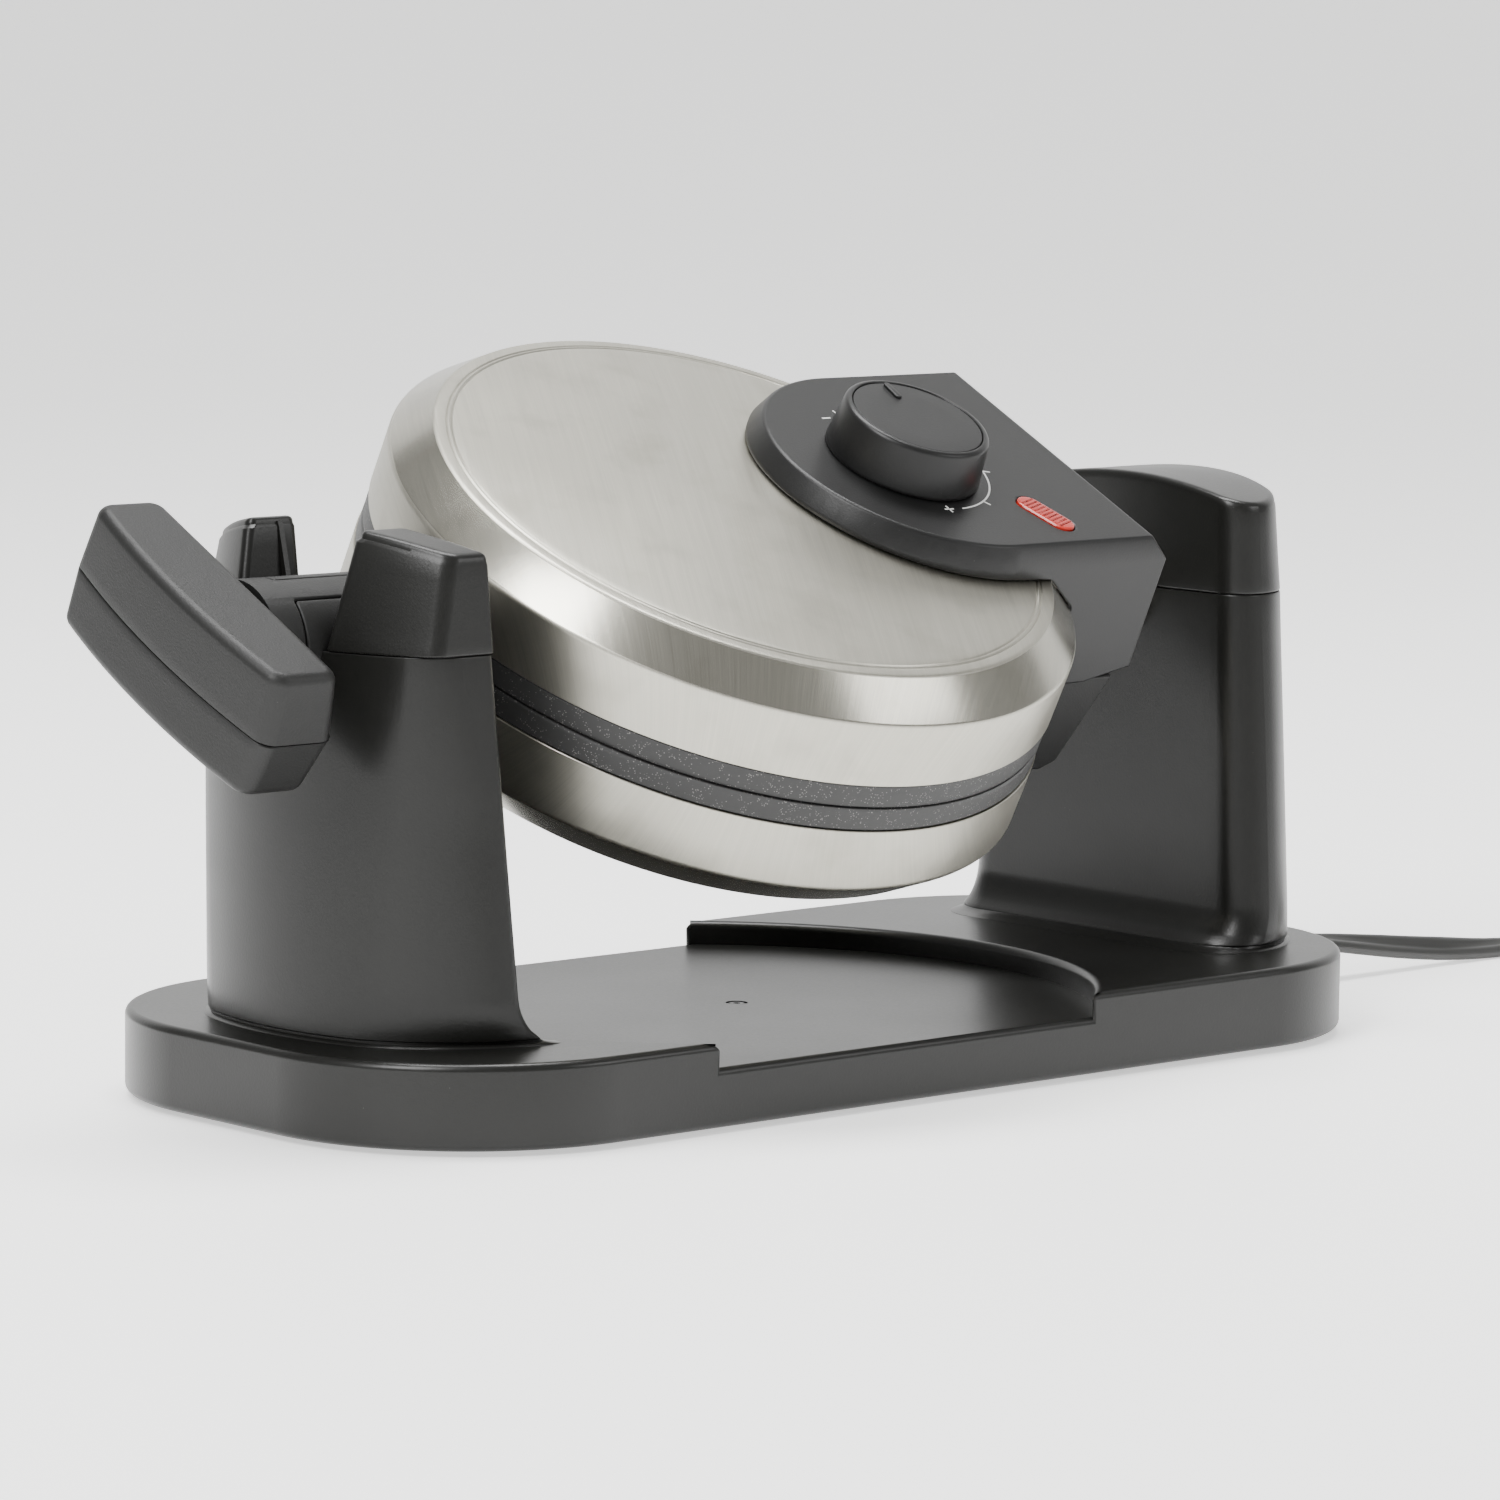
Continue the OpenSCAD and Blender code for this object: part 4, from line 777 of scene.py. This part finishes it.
def brushed_steel():
    finish = Finish("brushed_steel")
    local = drum_local(finish)
    axes = finish.add("ShaderNodeSeparateXYZ", None, {"Vector": local})
    x, y, z = axes["X"], axes["Y"], axes["Z"]
    radius = (x * x + y * y + 1e-9) ** 0.5
    height = (z * z) ** 0.5
    drop = (FACE_Z / 1000 - height) * (height < FACE_Z / 1000) * (radius > BEVEL_R / 1000 - 0.0005)
    stretch = (radius + drop) / radius
    sheet = finish.add("ShaderNodeCombineXYZ", None, {"X": x * stretch, "Y": y * stretch})["Vector"]
    across = finish.add("ShaderNodeVectorRotate", {"rotation_type": "Z_AXIS"},
                        {"Vector": sheet, "Angle": BRUSH_TURN})["Vector"]
    fine = finish.noise(1.0, 3.0, (26.0, 2600.0, 1.0), across)
    coarse = finish.noise(1.0, 3.0, (9.0, 520.0, 1.0), across)
    haze = finish.noise(17.0, 4.0)
    smudge = finish.noise(55.0, 5.0)
    bevel = (radius > (BEVEL_R + 0.4) / 1000) * (height > (RIM_Z + 0.3) / 1000)
    grip = 1 - 0.55 * bevel
    lines = 0.6 * fine + 0.4 * coarse
    tint = finish.blend(lines, (0.36, 0.348, 0.3), (0.58, 0.562, 0.49))
    tint = finish.blend(0.35 * finish.ramp(smudge, (0.52, 0.0), (0.72, 1.0)), tint, (0.3, 0.283, 0.235))
    rough = 0.2 + 0.13 * grip * fine + 0.1 * grip * haze + 0.05 * grip - 0.06 * bevel
    return finish.surface(color=tint, metal=1.0, rough=rough,
                          normal=finish.bump(lines, 0.000022, 0.5 * grip + 0.1))


def drum_lathe(name, profile, n, at=(0, 0, 0)):
    """A lathe shape about an axis through the drum's plates."""
    return raw_mesh(name, *lathe(profile, n, lambda ring: on_drum(ring + at)))


def drum_loft(name, rings):
    return raw_mesh(name, *loft([on_drum(ring) for ring in rings]))


def drum_block(low, high):
    """A plain cutter between two corners."""
    (x0, y0, z0), (x1, y1, z1) = low, high
    return drum_loft("cutter", [[(x0, y0, z), (x1, y0, z), (x1, y1, z), (x0, y1, z)] for z in (z0, z1)])


def cover_profile():
    def face(r):
        return FACE_Z + DOME * (1 - (r / BEVEL_R) ** 2)

    outer = [(r, face(r)) for r in (0, 12, 24, 36, 48, 58, 66, 73, 79, 83.5, 85.9)]
    outer += [(86.25, face(86.2) - 0.04), (86.65, face(86.6) - 0.34), (87.05, face(87) - 0.06),
              (87.3, face(87.3)), (87.55, face(87.5) - 0.06), (87.95, face(88) - 0.34),
              (88.35, face(88.4) - 0.04), (88.8, face(88.8)), (90.6, face(90.6)), (91.2, face(91.2) - 0.03)]
    bevel = [(91.65, FACE_Z - 0.2), (92.1, FACE_Z - 0.62), (101.2, 27.25), (101.65, 26.7), (101.92, 26.05)]
    wall = [(DRUM_R, 25.3), (DRUM_R, 16.0), (DRUM_R, SHELL_Z + 0.2), (101.85, SHELL_Z), (101.1, SHELL_Z)]
    inner = [(DRUM_R - STEEL_T, SHELL_Z + 0.2), (DRUM_R - STEEL_T, 26.0), (91.3, 35.5)]
    inner += [(r, face(r) - STEEL_T) for r in (80, 60, 40, 20, 0)]
    return outer + bevel + wall + inner


steel = brushed_steel()
upper_cover = drum_lathe("upper_steel_cover", cover_profile(), 288)
carve(upper_cover, drum_lathe("cutter", cylinder(HUB_HOLE, *HOLE_Z), 96, (HUB_X, 0, 0)))
for y in (-POST_Y, POST_Y):
    carve(upper_cover, drum_lathe("cutter", cylinder(POST_HOLE, *HOLE_Z), 96, (POST_X, y, 0)))
carve(upper_cover, drum_block(*NOTCH))
dress(upper_cover, steel, "lid", ("upper_cover",), 28)
lower_cover = drum_lathe("lower_steel_cover", [(r, -z) for r, z in cover_profile()], 288)
dress(lower_cover, steel, "drum", ("lower_cover",), 28)

# ----------------------------------------
# The two waffle plates: aluminium castings with a speckled non-stick coating.
# Their rims show as two dark bands between the covers; inside, rows of tapered
# studs and two ridges give four deep-pocketed quarters. Clamps hold the elements.
CAVITY_R, CAVITY_Z, PLATE_BACK, RIDGE_HALF = 88.0, 12.0, 16.0, 86.6
STUDS, PITCH, STUD_FOOT, STUD_TIP, STUD_GAP, STUD_CORNER = 10, 17.0, 10.0, 7.2, 2.2, 1.1
PAN = [(0, CAVITY_Z), (86.2, CAVITY_Z), (86.9, 11.4), (87.4, 1.0), (87.7, 0.35), (88.3, 0.16), (100.9, 0.16),
       (101.35, 0.4), (101.55, 0.9), (101.6, 1.6), (101.6, 6.6), (101.4, 7.0), (100.8, 7.1), (93.2, 7.2),
       (93, 7.4), (93, PLATE_BACK - 0.4), (92.6, PLATE_BACK), (0, PLATE_BACK)]
# section of a ridge, across it and up
RIDGE = ((-1.1, 12.4), (1.1, 12.4), (0.9, 8.5), (0.5, 8), (-0.5, 8), (-0.9, 8.5))
REPEAT_INPUTS = (("Columns", "NodeSocketInt"), ("Rows", "NodeSocketInt"), ("Length", "NodeSocketFloat"),
                 ("Width", "NodeSocketFloat"), ("Reach", "NodeSocketFloat"), ("Piece", "NodeSocketObject"),
                 ("Finish", "NodeSocketMaterial"))
REPEAT_NODES = (("in", "NodeGroupInput"), ("out", "NodeGroupOutput"), ("grid", "GeometryNodeMeshGrid"),
                ("place", "GeometryNodeInputPosition"), ("far", "ShaderNodeVectorMath"),
                ("beyond", "FunctionNodeCompare"), ("drop", "GeometryNodeDeleteGeometry"),
                ("piece", "GeometryNodeObjectInfo"), ("set", "GeometryNodeInstanceOnPoints"),
                ("real", "GeometryNodeRealizeInstances"), ("paint", "GeometryNodeSetMaterial"))
REPEAT_LINKS = (("in", "Columns", "grid", "Vertices X"), ("in", "Rows", "grid", "Vertices Y"),
                ("in", "Length", "grid", "Size X"), ("in", "Width", "grid", "Size Y"),
                ("place", 0, "far", 0), ("far", "Value", "beyond", 0), ("in", "Reach", "beyond", 1),
                ("grid", "Mesh", "drop", "Geometry"), ("beyond", 0, "drop", "Selection"),
                ("drop", 0, "set", "Points"), ("in", "Piece", "piece", "Object"),
                ("piece", "Geometry", "set", "Instance"), ("set", 0, "real", 0),
                ("real", 0, "paint", "Geometry"), ("in", "Finish", "paint", "Material"),
                ("paint", 0, "out", 0))


def speckled_coating():
    finish = Finish("speckled_coating")
    grain = finish.noise(900.0, 3.0)
    speck = finish.ramp(finish.cells(1500.0), (0.12, 1.0), (0.3, 0.0)) * (finish.noise(420.0, 1.0) > 0.5)
    tint = finish.blend(0.75 * speck, (0.02, 0.02, 0.02), (0.3, 0.29, 0.28))
    tint = finish.blend(0.25 * finish.noise(30.0, 3.0), tint, (0.045, 0.044, 0.042))
    return finish.surface(color=tint, rough=0.46 - 0.12 * speck + 0.1 * grain, metal=0.5 * speck,
                          normal=finish.bump(grain, 0.00007, 0.6))


def cast_stud(side):
    """A tapered block with rounded corners and a rounded tip; side is 1 on the lid and -1 below."""
    foot, tip, z_tip = STUD_FOOT / 2, STUD_TIP / 2, side * STUD_GAP
    rings = ((side * (CAVITY_Z + 0.5), foot), (z_tip + side * 1.2, tip + 0.15),
             (z_tip + side * 0.35, tip - 0.15), (z_tip, tip - 0.9))
    return raw_mesh("stud", *loft([round_ended(2 * half, 2 * half, STUD_CORNER, z, 3) for z, half in rings]))


def repeat_tree(name):
    """A node tree that sets copies of one piece on a grid of points and gives them a finish."""
    tree = bpy.data.node_groups.new(name, "GeometryNodeTree")
    ids = [tree.interface.new_socket(label, in_out="INPUT", socket_type=kind).identifier
           for label, kind in REPEAT_INPUTS]
    tree.interface.new_socket("Geometry", in_out="OUTPUT", socket_type="NodeSocketGeometry")
    node = {key: tree.nodes.new(kind) for key, kind in REPEAT_NODES}
    node["far"].operation = "LENGTH"
    node["beyond"].data_type, node["beyond"].operation = "FLOAT", "GREATER_THAN"
    node["drop"].domain = "POINT"
    for source, output, target, socket in REPEAT_LINKS:
        tree.links.new(node[source].outputs[output], node[target].inputs[socket])
    return tree, ids


def repeated(name, piece, finish, columns, rows, length, width, reach):
    """Copies of a piece on a grid, turned into one plain mesh; the sizes are in millimetres."""
    host = linked(name, bpy.data.meshes.new(name))
    modifier = host.modifiers.new("repeat", "NODES")
    modifier.node_group, ids = repeat_tree(name)
    values = (columns, rows, length / 1000, width / 1000, reach / 1000, piece, finish)
    for socket, value in zip(ids, values):
        modifier[socket] = value
    bake_modifiers(host)
    bpy.data.objects.remove(piece)
    return host


def add_mesh(piece, *others):
    """Takes other meshes into a piece and throws their objects away."""
    bm = bmesh.new()
    bm.from_mesh(piece.data)
    for other in others:
        bm.from_mesh(other.data)
        bpy.data.objects.remove(other)
    bm.to_mesh(piece.data)
    bm.free()


def waffle_plate(side, name):
    span = (STUDS - 1) * PITCH
    studs = repeated(name + "_studs", cast_stud(side), coating, STUDS, STUDS, span, span, CAVITY_R + 2)
    studs.data.transform(drum_place)
    carve(studs, drum_lathe("cutter", cylinder(CAVITY_R - 1.5, -20, 20), 160), "INTERSECT")
    plate = drum_lathe(name, [(r, side * z) for r, z in PAN], 224)
    ridges = [drum_loft("ridge", [turned([(end, across, side * z) for across, z in RIDGE], turn, (0, 0))
                                  for end in (-RIDGE_HALF, RIDGE_HALF)]) for turn in (0, math.pi / 2)]
    add_mesh(plate, studs, *ridges)
    return plate


coating = speckled_coating()
for side, name, node, body in ((1, "upper_waffle_plate", "upper_plate", "lid"),
                               (-1, "lower_waffle_plate", "lower_plate", "drum")):
    flatten_shading(dress(waffle_plate(side, name), coating, body, (node,), 30))
refinish(metal("oxidised_sheath", (0.3, 0.27, 0.24), 0.42, 700.0), "lower_heater", "upper_heater")
refinish(zinc, "lower_clamp", "upper_clamp")

# ----------------------------------------
# The lower housing behind the drum: a box in matt black with the slotted ears of
# the floating hinge. The hollow shaft, the stop disc and the ring that keeps it in
# its bearing are plated steel and black moulding.
def rounded_copy(node, name, width, angle=35.0):
    """A moulding with the solid's own form, its edges rounded as a mould leaves them."""
    bm = bmesh.new()
    bm.from_mesh(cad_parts[node].data)
    bmesh.ops.remove_doubles(bm, verts=bm.verts, dist=2e-6)
    bmesh.ops.dissolve_limit(bm, angle_limit=math.radians(1.0), verts=bm.verts, edges=bm.edges)
    mesh = bpy.data.meshes.new(name)
    bm.to_mesh(mesh)
    bm.free()
    piece = linked(name, mesh)
    edge = piece.modifiers.new("edge", "BEVEL")
    edge.width, edge.segments = width / 1000, 3
    edge.limit_method, edge.angle_limit = "ANGLE", math.radians(angle)
    edge.use_clamp_overlap, edge.miter_outer = False, "MITER_ARC"
    bake_modifiers(piece)
    return piece


flatten_shading(dress(rounded_copy("lower_housing", "lower_rear_housing", 0.8), black, "drum",
                      ("lower_housing",), 35))
refinish(zinc, "rear_shaft", "shaft_ring", "hinge_pin")
refinish(black, "index_disc")

# ----------------------------------------
# The handle: a wide grip across the end of a round stem, split along the drum's
# parting line, one half on each plate. Fine matt texture; hollow mouldings, each
# held to its cover by two screws from inside.
PART, GRIP_IN, GRIP_OUT, GRIP_HALF, GRIP_ARC = 0.15, 166.0, 194.0, 47.0, 247.7
GRIP_ROUND, GRIP_CORNER = 3.0, 4.5
GRIP_IN_LEAN, GRIP_OUT_LEAN, GRIP_SIDE_LEAN, LOWER_GRIP_H, UPPER_GRIP_H = 3.2, 0.2, 1.9, 17.0, 20.0
# the corners of the box that holds a half's stem, without its grip
STEM = (-GRIP_IN - 0.6, -60, -40), (-60, 60, 40)
handle_black = moulding("handle_moulding", (0.0075, 0.0075, 0.0071), 0.45, 1500.0, 0.00012, 0.3)


def grip_rings(side, height):
    """Half of the grip: bowed outside, drawn in towards its top, with a full round edge."""
    levels = [(PART, 0.35), (PART + 0.3, 0.0)] + [(height * k / 5 - 0.6 * k, 0.0) for k in (1, 2, 3, 4)]
    levels += [(height - GRIP_ROUND + GRIP_ROUND * math.sin(a), GRIP_ROUND * (1 - math.cos(a)))
               for a in np.radians((0, 18, 36, 54, 72, 90))]
    rings = []
    for z, inset in levels:
        t = z / height
        plan = bowed_plan(lambda y: GRIP_IN + GRIP_IN_LEAN * t,
                          arc_face(GRIP_OUT + GRIP_OUT_LEAN * t - GRIP_ARC, GRIP_ARC),
                          GRIP_HALF - GRIP_SIDE_LEAN * t, GRIP_CORNER, GRIP_CORNER)
        rings.append(mirrored(raised(shrink(plan, inset), side * z)))
    return rings


for side, height, node, name, body in ((-1, LOWER_GRIP_H, "lower_grip", "lower_handle_half", "drum"),
                                       (1, UPPER_GRIP_H, "upper_grip", "upper_handle_half", "lid")):
    half = rounded_copy(node, name, 0.7)
    carve(half, drum_block(*STEM), "INTERSECT")
    add_mesh(half, drum_loft("grip", grip_rings(side, height)))
    flatten_shading(dress(half, handle_black, body, (node,), 35))
refinish(zinc, "grip_screws")

# ----------------------------------------
# The control housing on the lid: one satin black moulding over the steel, with a
# round nose, a stepped skirt and a straight back. It hides the thermostat, the
# lamp and the wiring, and carries the knuckles of the hinge.
panel_black = moulding("panel_moulding", (0.0055, 0.0055, 0.0055), 0.38, 1900.0, 0.00006, 0.3)
flatten_shading(dress(rounded_copy("control_housing", "control_panel_housing", 0.9, 30.0), panel_black, "lid",
                      ("control_housing",), 35))
refinish(zinc, "panel_screws", "spindle")
refinish(metal("plated_thermostat", (0.6, 0.57, 0.5), 0.33), "thermostat")

# ----------------------------------------
# The white print round the dial: an arc, short ticks, a plus sign and a minus
# sign, pad-printed on the panel's face.
PANEL_Z, INK_T, INK_SUNK, LINE_W, TICK_W = 47.5, 0.03, 0.12, 0.55, 0.6
PRINT_R, ARC_DEG, TICK_DEG, TICK_R = 26.6, (-86, -17), (-62, -17, 97), (26.3, 27.6, 29.0)
PLUS_DEG, PLUS_HALF, MINUS_DEG, MINUS_HALF = -97, 1.7, 110, 1.6


def flat_mark(name, loops):
    """Thin marks on the panel's face, each a loop of points in the drum's plan."""
    verts, faces = merged([loft([[(x, y, z) for x, y in loop] for z in (PANEL_Z - INK_SUNK, PANEL_Z + INK_T)])
                           for loop in loops])
    return raw_mesh(name, on_drum(verts), faces)


def stroke(points, width):
    """A line of even width along some points, as one closed loop."""
    p = np.array(points, float)
    ahead = np.gradient(p, axis=0)
    ahead /= np.linalg.norm(ahead, axis=1)[:, None]
    side = np.stack([-ahead[:, 1], ahead[:, 0]], 1) * width / 2
    return [tuple(v) for v in np.concatenate([p + side, (p - side)[::-1]])]


def arc_points(radius, start, end, centre=(0.0, 0.0), n=28):
    a = np.radians(np.linspace(start, end, n))
    return np.stack([centre[0] + radius * np.cos(a), centre[1] + radius * np.sin(a)], 1)


def ray(degrees):
    return np.array((math.cos(math.radians(degrees)), math.sin(math.radians(degrees))))


def mottled(name, low, high, scale, detail, rough, spread, depth, strength):
    """A plain finish whose colour and roughness drift a little."""
    finish = Finish(name)
    cloud = finish.noise(scale, detail)
    return finish.surface(color=finish.blend(cloud, low, high), rough=rough + spread * cloud,
                          normal=finish.bump(cloud, depth, strength))


hub = np.array((HUB_X, 0.0))
plus, minus = hub + PRINT_R * ray(PLUS_DEG), hub + PRINT_R * ray(MINUS_DEG)
marks = [stroke(arc_points(PRINT_R, *ARC_DEG, hub), LINE_W)]
marks += [stroke([hub + ray(degrees) * r for r in TICK_R], TICK_W) for degrees in TICK_DEG]
for sign, reach in ((plus, (PLUS_HALF, 0)), (plus, (0, PLUS_HALF)), (minus, (MINUS_HALF, 0))):
    marks.append(stroke([sign - reach, sign, sign + reach], TICK_W))
ink = mottled("white_print", (0.62, 0.62, 0.6), (0.78, 0.78, 0.76), 900.0, 3.0, 0.5, 0.1, 0.00002, 0.4)
dress(flat_mark("dial_print", marks), ink, "lid", (), 30)

# ----------------------------------------
# The pilot lamp: a clear neon bulb under a red lens with round ends, moulded
# with fine ribs across its face, pushed up through the panel.
LENS_AT, LENS_TURN, LENS_L, LENS_W = (HUB_X + 30, -32.0), math.radians(-72), 19.0, 8.0
# how much wider than the lens, inset and height of each ring
LENS_RINGS = ((3, 0, 43.1), (3, 0, 44.8), (0, 0, 44.8), (0, 0, 47.6), (0, 0.15, 47.85), (0, 0.5, 48.0),
              (0, 1.0, 48.02))
RIBS, RIBS_L, RIB_HALF, RIB = 10, 13.5, 2.9, ((-0.45, 47.95), (0.45, 47.95), (0.25, 48.12), (-0.25, 48.12))


def stadium(length, width, inset=0.0, n=16):
    r, half = width / 2 - inset, (length - width) / 2
    right = arc_points(r, -90, 90, (half, 0), n)
    left = arc_points(r, 90, 270, (-half, 0), n)
    return np.concatenate([right, left])


red = mottled("red_lens", (0.36, 0.018, 0.012), (0.47, 0.032, 0.02), 120.0, 2.0, 0.16, 0.1, 0.00004, 0.3)
lens = drum_loft("lamp_lens_red", [
    turned(raised(stadium(LENS_L + wider, LENS_W + wider, inset), z), LENS_TURN, LENS_AT)
    for wider, inset, z in LENS_RINGS])
rib = raw_mesh("rib", *loft([[(x, y, z) for x, z in RIB] for y in (-RIB_HALF, RIB_HALF)]))
ribs = repeated("lens_ribs", rib, red, RIBS, 2, RIBS_L, 0.02, 50)
ribs.data.transform(drum_place @ Matrix.Translation((LENS_AT[0] / 1000, LENS_AT[1] / 1000, 0))
                    @ Matrix.Rotation(LENS_TURN, 4, "Z"))
add_mesh(lens, ribs)
dress(lens, red, "lid", ("lamp_lens",), 30)
refinish(mottled("clear_bulb", (0.8, 0.62, 0.52), (0.92, 0.8, 0.72), 300.0, 2.0, 0.08, 0.08, 0.00002, 0.3),
         "neon_lamp")

# ----------------------------------------
# The dial: a turned-looking black moulding with a slight taper, a chamfered rim
# and a sunken disc that carries a raised pointer; it pushes onto the spindle.
DIAL_AT = (HUB_X, 0, 47.8)
KNOB = [(0, 8.0), (3.1, 8.0), (3.1, 0.6), (6, 0.6), (6, 11.2), (20, 11.2), (20.2, 10.9), (20.2, 0.15),
        (20.5, 0.0), (22.7, 0.0), (23.05, 0.12), (23.2, 0.45), (23.16, 1.2), (21.85, 12.9), (21.68, 13.5),
        (21.3, 14.02), (20.75, 14.3), (20.2, 14.4), (19.95, 14.34), (19.75, 14.1), (19.7, 13.7),
        (19.6, 12.5), (0, 12.5)]
CAP = [(0, 12.5), (19.5, 12.5), (19.5, 13.95), (19.3, 14.15), (18.9, 14.2), (12, 14.22), (0, 14.25)]
POINTER_L, POINTER_W, POINTER_R, POINTER_TURN = 8.2, 2.2, 14.5, math.radians(83)
# height and inset of each of the pointer's rings
POINTER_RINGS = ((14.1, 0.0), (14.75, 0.0), (14.92, 0.12), (15.0, 0.35))


def pointer_ring(z, inset):
    plan = stadium(POINTER_L, POINTER_W, inset, 8) + (POINTER_R, 0)
    return turned(raised(plan, DIAL_AT[2] + z), POINTER_TURN, DIAL_AT)


knob_black = moulding("knob_moulding", (0.0045, 0.0045, 0.0045), 0.34, 1600.0, 0.00004, 0.3)
dress(drum_lathe("dial_knob", KNOB, 160, DIAL_AT), knob_black, "dial", ("knob",), 32)
cap_black = moulding("cap_moulding", (0.006, 0.006, 0.006), 0.42, 1600.0, 0.00006, 0.3)
dial_cap = drum_lathe("dial_cap", CAP, 128, DIAL_AT)
add_mesh(dial_cap, drum_loft("pointer", [pointer_ring(z, inset) for z, inset in POINTER_RINGS]))
dress(dial_cap, cap_black, "dial", ("knob_cap",), 30)
